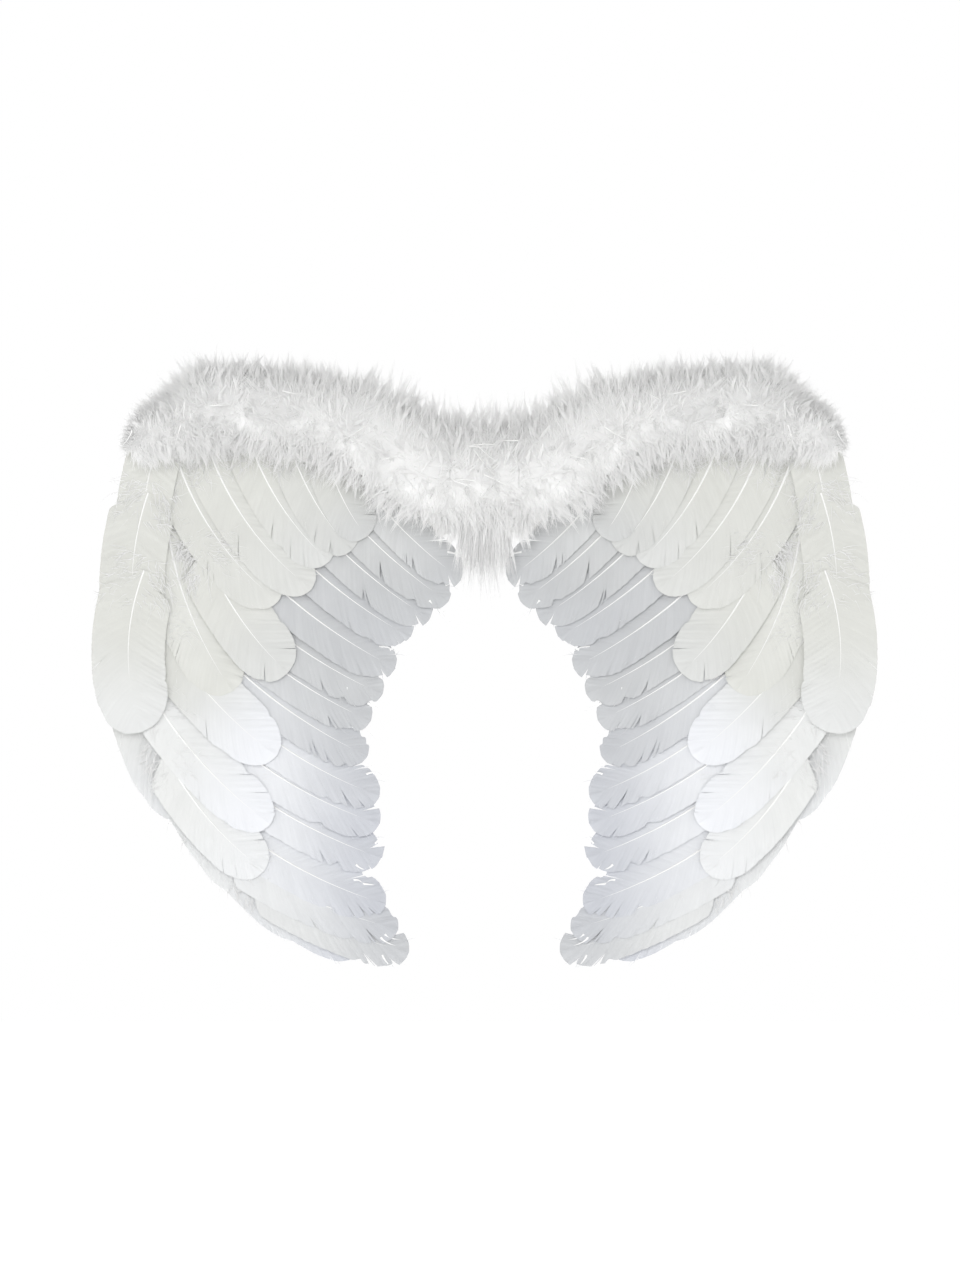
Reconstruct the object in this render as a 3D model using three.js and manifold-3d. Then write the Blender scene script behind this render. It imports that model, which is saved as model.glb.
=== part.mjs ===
// White feather angel wings for a costume, worn on the back.
// Millimetres, +Z up. The feathered face looks along -Y, and the wearer's back is on the +Y side.
// The origin is the middle of the back pad's rear face, where the wings sit on the wearer.

import * as THREE from 'three';
import * as BufferGeometryUtils from 'three/addons/utils/BufferGeometryUtils.js';
import Module from 'manifold-3d';

// Driving dimensions
const HALF_SPAN = 300;          // centre line to the outermost feather
const WING_HEIGHT = 472;        // top of the fluff to the lowest feather tip
const WING_BOW = 16;            // how far the outer edge curves away from the wearer

const CLEARANCE = 0.3;          // between pieces that rest on each other

const FEATHER_WIDTH = 36;       // a full-width vane
const FEATHER_THICKNESS = 0.8;
const FEATHER_CAMBER = 0.3;     // the shaft stands this far in front of the vane's edges
const QUILL_SHARE = 0.14;       // bare quill's width, as a share of the vane's
const QUILL_END = 0.01;         // along the feather: where the vane starts to open,
const VANE_FULL = 0.18;         // where it has its full width,
const TIP_START = 0.7;          // and where it starts to close to a blunt tip
const TIP_POWER = 2.6;
const TIP_WIDTH = 0.12;         // share of the vane's width left at the very end

const PANEL_THICKNESS = 1.5;

const PAD_HALF_WIDTH = 46;
const PAD_TOP = 34;
const PAD_BOTTOM = -42;
const PAD_CORNER = 12;
const PAD_THICKNESS = 3;

const TRIM_DEPTH = 28;          // front to back through the fluff of the trim
const TRIM_HALF_HEIGHT = 40;
const LOCK_LENGTH = 13;         // a lock's point, past the trim's own surface
const LOCK_RADIUS = 4;
const LOCK_ROOT = 6;            // how deep a lock starts inside the trim
const TUFT_LENGTH = 34;         // the downy locks that hang below the centre
const CENTRE_HALF_WIDTH = 26;   // half of the piece of trim that joins both wings

const LOOP_REACH = 112;         // how far an arm loop stands out behind the pad
const LOOP_TOP = 30;
const LOOP_BOTTOM = -38;
const LOOP_THICKNESS = 1.5;
const LOOP_WIDTH = 12;
const LOOP_OFFSET = 31;         // centre line of the wings to the middle of a loop
const LOOP_NEAR_RADIUS = 8;

// Feathers of one wing. Root and tip are shares: out of HALF_SPAN, and down of WING_HEIGHT.
// bend is a share of the feather's length, width a share of FEATHER_WIDTH.
// Of each row, the first feather lies on top and the last one at the back.
const FLIGHT_ROW = [
  // name, rootOut, rootDown, tipOut, tipDown, bend, width
  ['secondary_1', 0.300, 0.020, 0.060, 0.168, 0.04, 0.95],
  ['secondary_2', 0.385, 0.035, 0.092, 0.205, 0.04, 1.00],
  ['secondary_3', 0.440, 0.070, 0.140, 0.232, 0.04, 1.00],
  ['secondary_4', 0.510, 0.105, 0.190, 0.262, 0.04, 1.05],
  ['secondary_5', 0.570, 0.155, 0.228, 0.312, 0.04, 1.10],
  ['secondary_6', 0.590, 0.220, 0.260, 0.355, 0.04, 1.05],
  ['secondary_7', 0.605, 0.270, 0.290, 0.398, 0.04, 1.00],
  ['secondary_8', 0.635, 0.310, 0.298, 0.455, 0.04, 1.05],
  ['secondary_9', 0.640, 0.375, 0.268, 0.520, 0.05, 1.05],
  ['secondary_10', 0.655, 0.425, 0.268, 0.565, 0.05, 1.05],
  ['primary_1', 0.620, 0.500, 0.264, 0.620, 0.04, 1.10],
  ['primary_2', 0.650, 0.560, 0.252, 0.695, 0.05, 1.10],
  ['primary_3', 0.660, 0.607, 0.220, 0.735, 0.05, 1.05],
  ['primary_4', 0.600, 0.655, 0.193, 0.772, 0.05, 1.00],
];
const OUTER_ROW = [
  ['primary_5', 0.850, 0.350, 0.545, 0.565, 0.05, 1.20],
  ['primary_6', 0.815, 0.445, 0.560, 0.640, 0.06, 1.20],
];
const MID_ROW = [
  ['mid_covert_1', 0.715, 0.115, 0.500, 0.320, 0.06, 1.35],
  ['mid_covert_2', 0.806, 0.080, 0.640, 0.350, 0.06, 1.30],
  ['mid_covert_3', 0.860, 0.215, 0.530, 0.455, 0.05, 1.35],
];
const UPPER_ROW = [
  ['upper_covert_1', 0.402, -0.040, 0.300, 0.100, 0.06, 1.00],
  ['upper_covert_2', 0.497, -0.055, 0.338, 0.122, 0.06, 1.05],
  ['upper_covert_3', 0.604, -0.070, 0.395, 0.140, 0.07, 1.15],
  ['upper_covert_4', 0.712, -0.065, 0.440, 0.185, 0.08, 1.20],
  ['upper_covert_5', 0.790, -0.045, 0.525, 0.205, 0.08, 1.20],
];
// The short broad feathers that close the outer edge, one cluster
const EDGE_CLUSTER = [
  ['edge_top', 0.820, -0.062, 0.868, 0.140, 0.05, 1.15],
  ['edge_upper', 0.852, 0.030, 0.884, 0.260, 0.06, 1.38],
  ['edge_lower', 0.862, 0.155, 0.868, 0.415, 0.09, 1.55],
];
// The darker feathers that show behind the lower outer edge, one cluster
const RIM_CLUSTER = [
  ['rim_upper', 0.920, 0.220, 0.775, 0.555, 0.08, 1.00],
  ['rim_middle', 0.845, 0.410, 0.620, 0.672, 0.05, 0.80],
  ['rim_lower', 0.755, 0.540, 0.455, 0.748, 0.05, 0.80],
  ['rim_tip', 0.620, 0.650, 0.325, 0.774, 0.05, 0.80],
];

// Backing panel of one wing, station by station from the centre to the tip.
// Each row gives a point of the outer edge and a point of the inner edge, as shares.
const PANEL_STATIONS = [
  // outerOut, outerDown, innerOut, innerDown
  [0.010, -0.070, 0.010, 0.085],
  [0.130, -0.088, 0.150, 0.105],
  [0.265, -0.130, 0.280, 0.150],
  [0.440, -0.150, 0.390, 0.215],
  [0.640, -0.165, 0.470, 0.265],
  [0.810, -0.125, 0.510, 0.305],
  [0.885, -0.035, 0.545, 0.345],
  [0.925, 0.090, 0.570, 0.390],
  [0.940, 0.235, 0.580, 0.440],
  [0.905, 0.370, 0.565, 0.495],
  [0.830, 0.490, 0.535, 0.560],
  [0.725, 0.585, 0.495, 0.625],
  [0.610, 0.665, 0.450, 0.675],
  [0.480, 0.720, 0.405, 0.712],
];

// Trim of one wing, from the centre outwards. height is a share of TRIM_HALF_HEIGHT,
// lean turns the section, in degrees, so that its top follows the wing's top edge, and lift
// is how far its back stands forward to clear the edge feathers, as back is below.
const TRIM_STATIONS = [
  // out, down, height, lean, lift
  [0.088, 0.000, 1.19, 0, 0],
  [0.200, -0.024, 1.24, -12, 0],
  [0.300, -0.066, 1.11, -12, 0],
  [0.400, -0.089, 0.95, -5, 0],
  [0.500, -0.100, 0.93, -3, 0],
  [0.610, -0.108, 0.92, 2, 0],
  [0.710, -0.105, 0.92, 12, 0],
  [0.776, -0.078, 0.74, 32, 0.4],
  [0.842, -0.060, 0.52, 50, 1],
  [0.880, -0.034, 0.22, 65, 1],
];

// Section of the trim: across runs from the lower edge, -1, to the upper edge, 1.
// back and front are shares of the way from the panel to the front feathers, and of TRIM_DEPTH.
const TRIM_SECTION = [
  // across, back, front
  [-1.00, 1.00, 0.10],
  [-0.90, 1.00, 0.00],
  [-0.45, 1.00, 0.00],
  [0.15, 0.00, 0.00],
  [0.85, 0.00, 0.00],
  [1.00, 0.00, 0.22],
  [0.90, 0.00, 0.50],
  [0.55, 0.25, 0.80],
  [0.05, 0.60, 0.95],
  [-0.45, 0.85, 0.92],
  [-0.85, 1.00, 0.55],
];

const wasm = await Module();
wasm.setup();

// Places on the wing
const outX = (side, out) => side * out * HALF_SPAN;
const downZ = (down) => -down * WING_HEIGHT;

// The wings are flat over the pad and then curve away from the wearer
function bow(x) {
  const past = Math.max(0, Math.abs(x) - PAD_HALF_WIDTH) / (HALF_SPAN - PAD_HALF_WIDTH);
  return WING_BOW * past * past;
}

const signedVolume = (geometry) => {
  const p = geometry.getAttribute('position');
  const index = geometry.getIndex().array;
  const corner = [new THREE.Vector3(), new THREE.Vector3(), new THREE.Vector3()];
  let volume = 0;
  for (let i = 0; i < index.length; i += 3) {
    corner.forEach((c, j) => c.fromBufferAttribute(p, index[i + j]));
    volume += corner[0].dot(corner[1].clone().cross(corner[2])) / 6;
  }
  return volume;
};

// A closed geometry from corners and triangles, with its faces turned outwards
function closedGeometry(points, triangles) {
  const geometry = new THREE.BufferGeometry().setFromPoints(points);
  geometry.setIndex(triangles);
  if (signedVolume(geometry) < 0) {
    const index = geometry.getIndex();
    for (let i = 0; i < index.count; i += 3) {
      const second = index.getX(i + 1);
      index.setX(i + 1, index.getX(i + 2));
      index.setX(i + 2, second);
    }
  }
  return geometry;
}

// A sheet over a grid of points, grid[row][column], that reaches front and back from them along Y
function sheetGeometry(grid, front, back) {
  const rows = grid.length;
  const columns = grid[0].length;
  const shifted = (dy) => grid.flat().map((p) => new THREE.Vector3(p.x, p.y + dy, p.z));
  const points = [...shifted(-front), ...shifted(back)];
  const at = (layer, i, j) => layer * rows * columns + i * columns + j;
  const triangles = [];
  const quad = (a, b, c, d) => triangles.push(a, b, c, a, c, d);
  for (let i = 0; i < rows - 1; i++) {
    for (let j = 0; j < columns - 1; j++) {
      quad(at(0, i, j), at(0, i + 1, j), at(0, i + 1, j + 1), at(0, i, j + 1));
      quad(at(1, i, j), at(1, i, j + 1), at(1, i + 1, j + 1), at(1, i + 1, j));
    }
    quad(at(0, i, 0), at(1, i, 0), at(1, i + 1, 0), at(0, i + 1, 0));
    quad(at(0, i, columns - 1), at(0, i + 1, columns - 1), at(1, i + 1, columns - 1), at(1, i, columns - 1));
  }
  for (let j = 0; j < columns - 1; j++) {
    quad(at(0, 0, j), at(0, 0, j + 1), at(1, 0, j + 1), at(1, 0, j));
    quad(at(0, rows - 1, j), at(1, rows - 1, j), at(1, rows - 1, j + 1), at(0, rows - 1, j + 1));
  }
  return closedGeometry(points, triangles);
}

// A closed skin over rings of points, each ring with the same number of corners
function ringGeometry(rings) {
  const corners = rings[0].length;
  const points = rings.flat();
  const triangles = [];
  for (let i = 0; i < rings.length - 1; i++) {
    for (let j = 0; j < corners; j++) {
      const k = (j + 1) % corners;
      const a = i * corners;
      const b = a + corners;
      triangles.push(a + j, a + k, b + k, a + j, b + k, b + j);
    }
  }
  for (const [ring, turned] of [[0, true], [rings.length - 1, false]]) {
    const first = ring * corners;
    const centre = points.length;
    points.push(rings[ring].reduce((sum, p) => sum.add(p), new THREE.Vector3()).divideScalar(corners));
    for (let j = 0; j < corners; j++) {
      const k = (j + 1) % corners;
      triangles.push(centre, first + (turned ? k : j), first + (turned ? j : k));
    }
  }
  return closedGeometry(points, triangles);
}

const SAME_POINT = 1e-4;   // corners closer than this are one corner

// The solid of a closed geometry, to join it to others or to try it against them
function solidOf(geometry) {
  const bare = new THREE.BufferGeometry();
  bare.setAttribute('position', geometry.getAttribute('position'));
  bare.setIndex(geometry.getIndex());
  const merged = BufferGeometryUtils.mergeVertices(bare, SAME_POINT);
  return new wasm.Manifold(new wasm.Mesh({
    numProp: 3,
    vertProperties: new Float32Array(merged.getAttribute('position').array),
    triVerts: new Uint32Array(merged.getIndex().array),
  }));
}

// Joins overlapping geometries into one body
function fuse(geometries) {
  const joined = geometries.map(solidOf).reduce((all, solid) => all.add(solid));
  const mesh = joined.getMesh();
  const geometry = new THREE.BufferGeometry();
  geometry.setAttribute('position', new THREE.BufferAttribute(new Float32Array(mesh.vertProperties), 3));
  geometry.setIndex(new THREE.BufferAttribute(new Uint32Array(mesh.triVerts), 1));
  return geometry;
}

// Feathers
const asFeather = ([name, rootOut, rootDown, tipOut, tipDown, bend, width]) => ({
  name,
  root: new THREE.Vector2(rootOut * HALF_SPAN, rootDown * WING_HEIGHT),
  tip: new THREE.Vector2(tipOut * HALF_SPAN, tipDown * WING_HEIGHT),
  bend,
  width: width * FEATHER_WIDTH,
});

// The shaft in the wing's own plane, out and down, bowed towards its lower side
function shaftOf(feather) {
  const along = feather.tip.clone().sub(feather.root);
  const lower = new THREE.Vector2(along.y, -along.x);
  const middle = feather.root.clone().addScaledVector(along, 0.5).addScaledVector(lower, 2 * feather.bend);
  return new THREE.QuadraticBezierCurve(feather.root, middle, feather.tip);
}

const PITCH_SAMPLES = 24;

// Distance between the shafts of neighbours in a row, the least one of the row
function tightestPitch(row) {
  const places = [0.2, 0.5, 0.8];
  let least = Infinity;
  for (let i = 0; i < row.length - 1; i++) {
    const upper = shaftOf(row[i]);
    const lower = shaftOf(row[i + 1]);
    for (const s of places) {
      const from = upper.getPoint(s);
      const nearest = Math.min(...lower.getPoints(PITCH_SAMPLES).map((p) => p.distanceTo(from)));
      least = Math.min(least, nearest);
    }
  }
  return least;
}

// Width of the vane along the feather, as a share: bare quill, full vane, blunt round tip
function vaneShare(s) {
  const opened = THREE.MathUtils.smoothstep(s, QUILL_END, VANE_FULL);
  const closing = Math.max(0, (s - TIP_START) / (1 - TIP_START));
  const closed = Math.sqrt(1 - (1 - TIP_WIDTH ** 2) * closing ** TIP_POWER);
  return (QUILL_SHARE + (1 - QUILL_SHARE) * opened) * closed;
}

const SHAFT_STEPS = [0, 0.05, 0.11, VANE_FULL, 0.44, TIP_START, 0.83, 0.92, 0.975, 1];
const VANE_COLUMNS = [-1, 0, 1];

// The middle surface of one blade. Its lower edge leans forward by tilt, over the next feather.
function bladeGrid(feather, side, depth, tilt) {
  const shaft = shaftOf(feather);
  return SHAFT_STEPS.map((s) => {
    const centre = shaft.getPoint(s);
    const heading = shaft.getTangent(s);
    const half = feather.width * vaneShare(s) / 2;
    return VANE_COLUMNS.map((column) => {
      const across = column * half;
      const x = side * (centre.x + heading.y * across);
      const z = -(centre.y - heading.x * across);
      const crown = FEATHER_CAMBER * (1 - column * column);
      return new THREE.Vector3(x, -depth - tilt * across - crown - bow(x), z);
    });
  });
}

const panelFront = PAD_THICKNESS + CLEARANCE + PANEL_THICKNESS;

// Backing panel: a ladder of stations, with three points across each
const PANEL_COLUMNS = [0, 0.5, 1];

function panelGeometry(side) {
  const middle = panelFront - PANEL_THICKNESS / 2;
  const grid = PANEL_STATIONS.map(([outerOut, outerDown, innerOut, innerDown]) =>
    PANEL_COLUMNS.map((t) => {
      const x = outX(side, THREE.MathUtils.lerp(outerOut, innerOut, t));
      const z = downZ(THREE.MathUtils.lerp(outerDown, innerDown, t));
      return new THREE.Vector3(x, -middle - bow(x), z);
    }));
  return sheetGeometry(grid, PANEL_THICKNESS / 2, PANEL_THICKNESS / 2);
}

const HALF_BLADE = FEATHER_THICKNESS / 2;
const bladeGeometry = (feather, side, depth, tilt) =>
  sheetGeometry(bladeGrid(feather, side, depth, tilt), HALF_BLADE, HALF_BLADE);

const featherStep = FEATHER_THICKNESS + FEATHER_CAMBER + CLEARANCE;
const CLUSTER_RISE = 0.6;                       // share of a thickness from one to the next of a cluster
const clusterStep = CLUSTER_RISE * FEATHER_THICKNESS;
const PILE_DEPTH = 100;                         // more than all the feathers stand forward
const LAY_STEP = 0.02;                          // a blade's place is found to within this
const TOUCH_VOLUME = 1e-4;

// Lays blades on what is already laid: each goes back until it would touch, less the clearance
function layBlades(blades, laid) {
  const column = blades.map(({ feather, depth, tilt }) =>
    solidOf(sheetGeometry(bladeGrid(feather, 1, depth, tilt), PILE_DEPTH, HALF_BLADE)))
    .reduce((all, solid) => all.add(solid));
  const touches = (shift) => {
    const tried = column.translate([0, -shift, 0]);
    return laid.some((solid) => tried.intersect(solid).volume() > TOUCH_VOLUME);
  };
  let held = 0;
  let free = PILE_DEPTH;
  while (free - held > LAY_STEP) {
    const middle = (free + held) / 2;
    if (touches(middle)) held = middle;
    else free = middle;
  }
  for (const blade of blades) {
    blade.depth += free + CLEARANCE;
    laid.push(solidOf(bladeGeometry(blade.feather, 1, blade.depth, blade.tilt)));
  }
}

// Rows, from the panel forwards. In a row, the last feather is laid first.
const rows = [FLIGHT_ROW, OUTER_ROW, MID_ROW, UPPER_ROW].map((table) => {
  const feathers = table.map(asFeather);
  const tilt = featherStep / tightestPitch(feathers);
  return feathers.map((feather) => ({ feather, depth: 0, tilt }));
});
const clusterOf = (table) => table.map(asFeather)
  .map((feather, i) => ({ feather, depth: i * clusterStep, tilt: 0 }));
const rimBlades = clusterOf(RIM_CLUSTER);
const edgeBlades = clusterOf(EDGE_CLUSTER);

const laidSolids = [solidOf(panelGeometry(1))];
layBlades(rimBlades, laidSolids);
for (const row of rows) {
  for (const blade of [...row].reverse()) layBlades([blade], laidSolids);
}
layBlades(edgeBlades, laidSolids);

const bladeFront = ({ feather, depth, tilt }) =>
  depth + tilt * feather.width / 2 + FEATHER_CAMBER + HALF_BLADE;
const [flightBlades, outerBlades, midBlades, upperBlades] = rows;
const pileFront = Math.max(...[...upperBlades, ...edgeBlades].map(bladeFront));

// Materials
const creamFeather = new THREE.MeshStandardMaterial({ color: 0xeeeee4, roughness: 0.75 });
const coolFeather = new THREE.MeshStandardMaterial({ color: 0xe6e8ee, roughness: 0.7 });
const whiteFelt = new THREE.MeshStandardMaterial({ color: 0xefefec, roughness: 0.95 });
const fluff = new THREE.MeshStandardMaterial({ color: 0xf0f0f2, roughness: 1.0 });
const elastic = new THREE.MeshStandardMaterial({ color: 0xf2f2f0, roughness: 0.85 });

const wings = new THREE.Group();

function addPiece(name, geometry, material) {
  const mesh = new THREE.Mesh(geometry, material);
  mesh.name = name;
  wings.add(mesh);
  return mesh;
}

const sideName = (side) => (side < 0 ? 'left' : 'right');

function addFeathers(side) {
  const single = [
    [flightBlades, coolFeather], [outerBlades, creamFeather],
    [midBlades, creamFeather], [upperBlades, creamFeather],
  ];
  for (const [blades, material] of single) {
    for (const { feather, depth, tilt } of blades) {
      addPiece(`${feather.name}_${sideName(side)}`, bladeGeometry(feather, side, depth, tilt), material);
    }
  }
  const clusters = [['edge_coverts', edgeBlades, creamFeather], ['rim_feathers', rimBlades, coolFeather]];
  for (const [name, blades, material] of clusters) {
    const parts = blades.map(({ feather, depth, tilt }) => bladeGeometry(feather, side, depth, tilt));
    addPiece(`${name}_${sideName(side)}`, fuse(parts), material);
  }
}

// Trim
const trimBackRange = pileFront - panelFront;

// A ring of the trim's section round a station of its path
function trimRing({ x, z, half, lean = 0, lift = 0 }) {
  return TRIM_SECTION.map(([across, back, front]) => {
    const rise = across * half;
    const px = x + Math.sin(lean) * rise;
    const pz = z + Math.cos(lean) * rise;
    const seat = Math.max(back, lift) * trimBackRange;
    const depth = panelFront + CLEARANCE + seat + front * TRIM_DEPTH;
    return new THREE.Vector3(px, -depth - bow(px), pz);
  });
}

// A repeatable scatter: each call gives a number between low and high
function scatter(seed) {
  let state = seed;
  return ([low, high]) => {
    state = (state * 16807) % 2147483647;
    return low + (high - low) * state / 2147483647;
  };
}

// A lock of fluff: a slim pyramid from inside the trim out to its point
function lockGeometry(from, direction, length) {
  const height = LOCK_ROOT + length;
  const cone = new THREE.ConeGeometry(LOCK_RADIUS, height, 4, 1);
  cone.translate(0, height / 2 - LOCK_ROOT, 0);
  const turn = new THREE.Quaternion().setFromUnitVectors(new THREE.Vector3(0, 1, 0), direction);
  cone.applyQuaternion(turn);
  cone.translate(from.x, from.y, from.z);
  return cone;
}

// Locks along the top edge of one wing's trim, which lean by shares of the section's height
const EDGE_LOCKS = 26;
const EDGE_LOCK_START = 0.6;               // place of a lock within its share of the trim
const EDGE_LOCK_OUTWARD = [-0.25, 0.45];
const EDGE_LOCK_REARWARD = [-0.5, 0.3];
const EDGE_LOCK_LENGTH = [0.7, 1.2];       // shares of LOCK_LENGTH

// Locks down the front of one wing's trim
const FRONT_LOCKS = 12;
const FRONT_LOCK_SPREAD = 0.94;            // share of the trim that has them
const FRONT_LOCK_OUTWARD = [-0.3, 0.7];
const FRONT_LOCK_FORWARD = 0.8;
const FRONT_LOCK_DOWNWARD = [0.9, 1.9];
const FRONT_LOCK_LENGTH = 0.7;

// Corners of the trim's section: its upper edge, its upper rear, and those that bulge forward
const TOP_CORNER = TRIM_SECTION.findIndex(([across]) => across === 1);
const REAR_CORNER = TRIM_SECTION.findIndex(([, back]) => back === 0);
const BULGE = 0.6;                         // share of the trim's depth past which a corner bulges
const FRONT_CORNERS = TRIM_SECTION.flatMap(([, , front], i) => (front > BULGE ? [i] : []));

function addTrim(side) {
  const stations = TRIM_STATIONS.map(([out, down, height, lean, lift]) => ({
    x: outX(side, out),
    z: downZ(down),
    half: height * TRIM_HALF_HEIGHT,
    lean: side * THREE.MathUtils.degToRad(lean),
    lift,
  }));
  stations[0].x = side * (CENTRE_HALF_WIDTH + CLEARANCE);
  const rings = stations.map(trimRing);
  const ringPoint = (t, corner) => {
    const place = t * (rings.length - 1);
    const i = Math.min(rings.length - 2, Math.floor(place));
    return rings[i][corner].clone().lerp(rings[i + 1][corner], place - i);
  };
  const parts = [ringGeometry(rings)];
  const between = scatter(11);
  for (let k = 0; k < EDGE_LOCKS; k++) {
    const t = (k + EDGE_LOCK_START) / EDGE_LOCKS;
    const top = ringPoint(t, TOP_CORNER);
    const direction = top.clone().sub(ringPoint(t, REAR_CORNER));
    const height = direction.length();
    direction.y = between(EDGE_LOCK_REARWARD) * height;
    direction.x += between(EDGE_LOCK_OUTWARD) * side * height;
    direction.normalize();
    parts.push(lockGeometry(top, direction, LOCK_LENGTH * between(EDGE_LOCK_LENGTH)));
  }
  for (let k = 0; k < FRONT_LOCKS; k++) {
    const t = (k + 0.5) / FRONT_LOCKS * FRONT_LOCK_SPREAD;
    const seat = ringPoint(t, FRONT_CORNERS[k % FRONT_CORNERS.length]);
    const out = between(FRONT_LOCK_OUTWARD) * side;
    const direction = new THREE.Vector3(out, -FRONT_LOCK_FORWARD, -between(FRONT_LOCK_DOWNWARD));
    parts.push(lockGeometry(seat, direction.normalize(), LOCK_LENGTH * FRONT_LOCK_LENGTH));
  }
  addPiece(`marabou_${sideName(side)}`, fuse(parts), fluff);
}

// Centre: the trim between both wings, with the downy tuft hanging from its lower edge
const CENTRE_COLUMNS = [-1, -0.5, 0, 0.5, 1];
const TUFT_LOCKS = 6;
const TUFT_SPREAD = 0.7;         // share of the centre's width that the tuft's roots take
const TUFT_FAN = 0.35;           // how far its outermost locks turn outwards
const TUFT_TAPER = 0.3;          // how much shorter they are
const TUFT_SWAY = [-0.05, 0.05];
const CROWN_LOCKS = 7;
const CROWN_SPREAD = 0.8;
const CROWN_FAN = 0.5;
const CROWN_FORWARD = [0, 0.3];
const CROWN_LENGTH = 0.7;        // share of LOCK_LENGTH
const CENTRE_LOCK_SEAT = 0.3;    // depth of the locks' roots, as a share of TRIM_DEPTH

// Places across the centre, from -1 to 1, one for each lock
const placesAcross = (count) => Array.from({ length: count }, (_, k) => (2 * k + 1) / count - 1);

function addCentre() {
  const [, down, height] = TRIM_STATIONS[0];
  const half = height * TRIM_HALF_HEIGHT;
  const rings = CENTRE_COLUMNS.map((column) =>
    trimRing({ x: column * CENTRE_HALF_WIDTH, z: downZ(down), half }));
  const parts = [ringGeometry(rings)];
  const between = scatter(5);
  const bottom = downZ(down) - half;
  const top = downZ(down) + half;
  const crownDepth = panelFront + CLEARANCE + CENTRE_LOCK_SEAT * TRIM_DEPTH;
  const tuftDepth = crownDepth + trimBackRange;
  for (const place of placesAcross(TUFT_LOCKS)) {
    const x = place * CENTRE_HALF_WIDTH * TUFT_SPREAD;
    const seat = new THREE.Vector3(x, -tuftDepth, bottom + LOCK_ROOT);
    const direction = new THREE.Vector3(place * TUFT_FAN, between(TUFT_SWAY), -1).normalize();
    const length = TUFT_LENGTH * (1 - TUFT_TAPER * Math.abs(place)) + LOCK_ROOT;
    parts.push(lockGeometry(seat, direction, length));
  }
  for (const place of placesAcross(CROWN_LOCKS)) {
    const x = place * CENTRE_HALF_WIDTH * CROWN_SPREAD;
    const seat = new THREE.Vector3(x, -crownDepth, top - LOCK_ROOT / 2);
    const direction = new THREE.Vector3(place * CROWN_FAN, -between(CROWN_FORWARD), 1).normalize();
    parts.push(lockGeometry(seat, direction, LOCK_LENGTH * CROWN_LENGTH));
  }
  addPiece('marabou_centre', fuse(parts), fluff);
}

// Back pad: a plain felt plate with round corners
function addPad() {
  const shape = new THREE.Shape();
  const left = -PAD_HALF_WIDTH;
  const right = PAD_HALF_WIDTH;
  const r = PAD_CORNER;
  shape.moveTo(left + r, PAD_BOTTOM);
  shape.lineTo(right - r, PAD_BOTTOM);
  shape.absarc(right - r, PAD_BOTTOM + r, r, -Math.PI / 2, 0);
  shape.lineTo(right, PAD_TOP - r);
  shape.absarc(right - r, PAD_TOP - r, r, 0, Math.PI / 2);
  shape.lineTo(left + r, PAD_TOP);
  shape.absarc(left + r, PAD_TOP - r, r, Math.PI / 2, Math.PI);
  shape.lineTo(left, PAD_BOTTOM + r);
  shape.absarc(left + r, PAD_BOTTOM + r, r, Math.PI, 1.5 * Math.PI);
  const geometry = new THREE.ExtrudeGeometry(shape, {
    depth: PAD_THICKNESS, bevelEnabled: false, curveSegments: 5,
  });
  const pad = addPiece('back_pad', geometry, whiteFelt);
  // Extruded forwards: the shape's plane stands up, and its rear face lies at Y = 0
  pad.rotation.x = Math.PI / 2;
}

// Arm loop: a closed elastic band, flat where it is sewn on the pad and round at its far end
function loopPath(path, inset) {
  const near = inset;
  const top = LOOP_TOP - inset;
  const bottom = LOOP_BOTTOM + inset;
  const r = LOOP_NEAR_RADIUS - inset;
  const farRadius = (top - bottom) / 2;
  const farCentre = LOOP_REACH - inset - farRadius;
  path.moveTo(near + r, bottom);
  path.lineTo(farCentre, bottom);
  path.absarc(farCentre, (top + bottom) / 2, farRadius, -Math.PI / 2, Math.PI / 2);
  path.lineTo(near + r, top);
  path.absarc(near + r, top - r, r, Math.PI / 2, Math.PI);
  path.lineTo(near, bottom + r);
  path.absarc(near + r, bottom + r, r, Math.PI, 1.5 * Math.PI);
  return path;
}

function addLoop(side) {
  const shape = loopPath(new THREE.Shape(), 0);
  shape.holes.push(loopPath(new THREE.Path(), LOOP_THICKNESS));
  const geometry = new THREE.ExtrudeGeometry(shape, {
    depth: LOOP_WIDTH, bevelEnabled: false, curveSegments: 8,
  });
  geometry.translate(0, 0, -LOOP_WIDTH / 2);
  const loop = addPiece(`arm_loop_${sideName(side)}`, geometry, elastic);
  // The shape's X runs out behind the pad, its Y runs up, and the band's width lies along X
  const turn = new THREE.Matrix4().makeBasis(
    new THREE.Vector3(0, 1, 0), new THREE.Vector3(0, 0, 1), new THREE.Vector3(1, 0, 0));
  loop.quaternion.setFromRotationMatrix(turn);
  loop.position.set(side * LOOP_OFFSET, CLEARANCE, 0);
}

for (const side of [-1, 1]) {
  addPiece(`wing_panel_${sideName(side)}`, panelGeometry(side), whiteFelt);
  addFeathers(side);
  addTrim(side);
  addLoop(side);
}
addCentre();
addPad();

export default wings;
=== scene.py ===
"""White feather angel wings for a costume, seen from the feathered side.

Metres, +Z up. The feathered face looks along -Y and the wearer's back is on the +Y side.
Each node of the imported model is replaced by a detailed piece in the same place.
"""
import math
from collections import namedtuple

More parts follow.
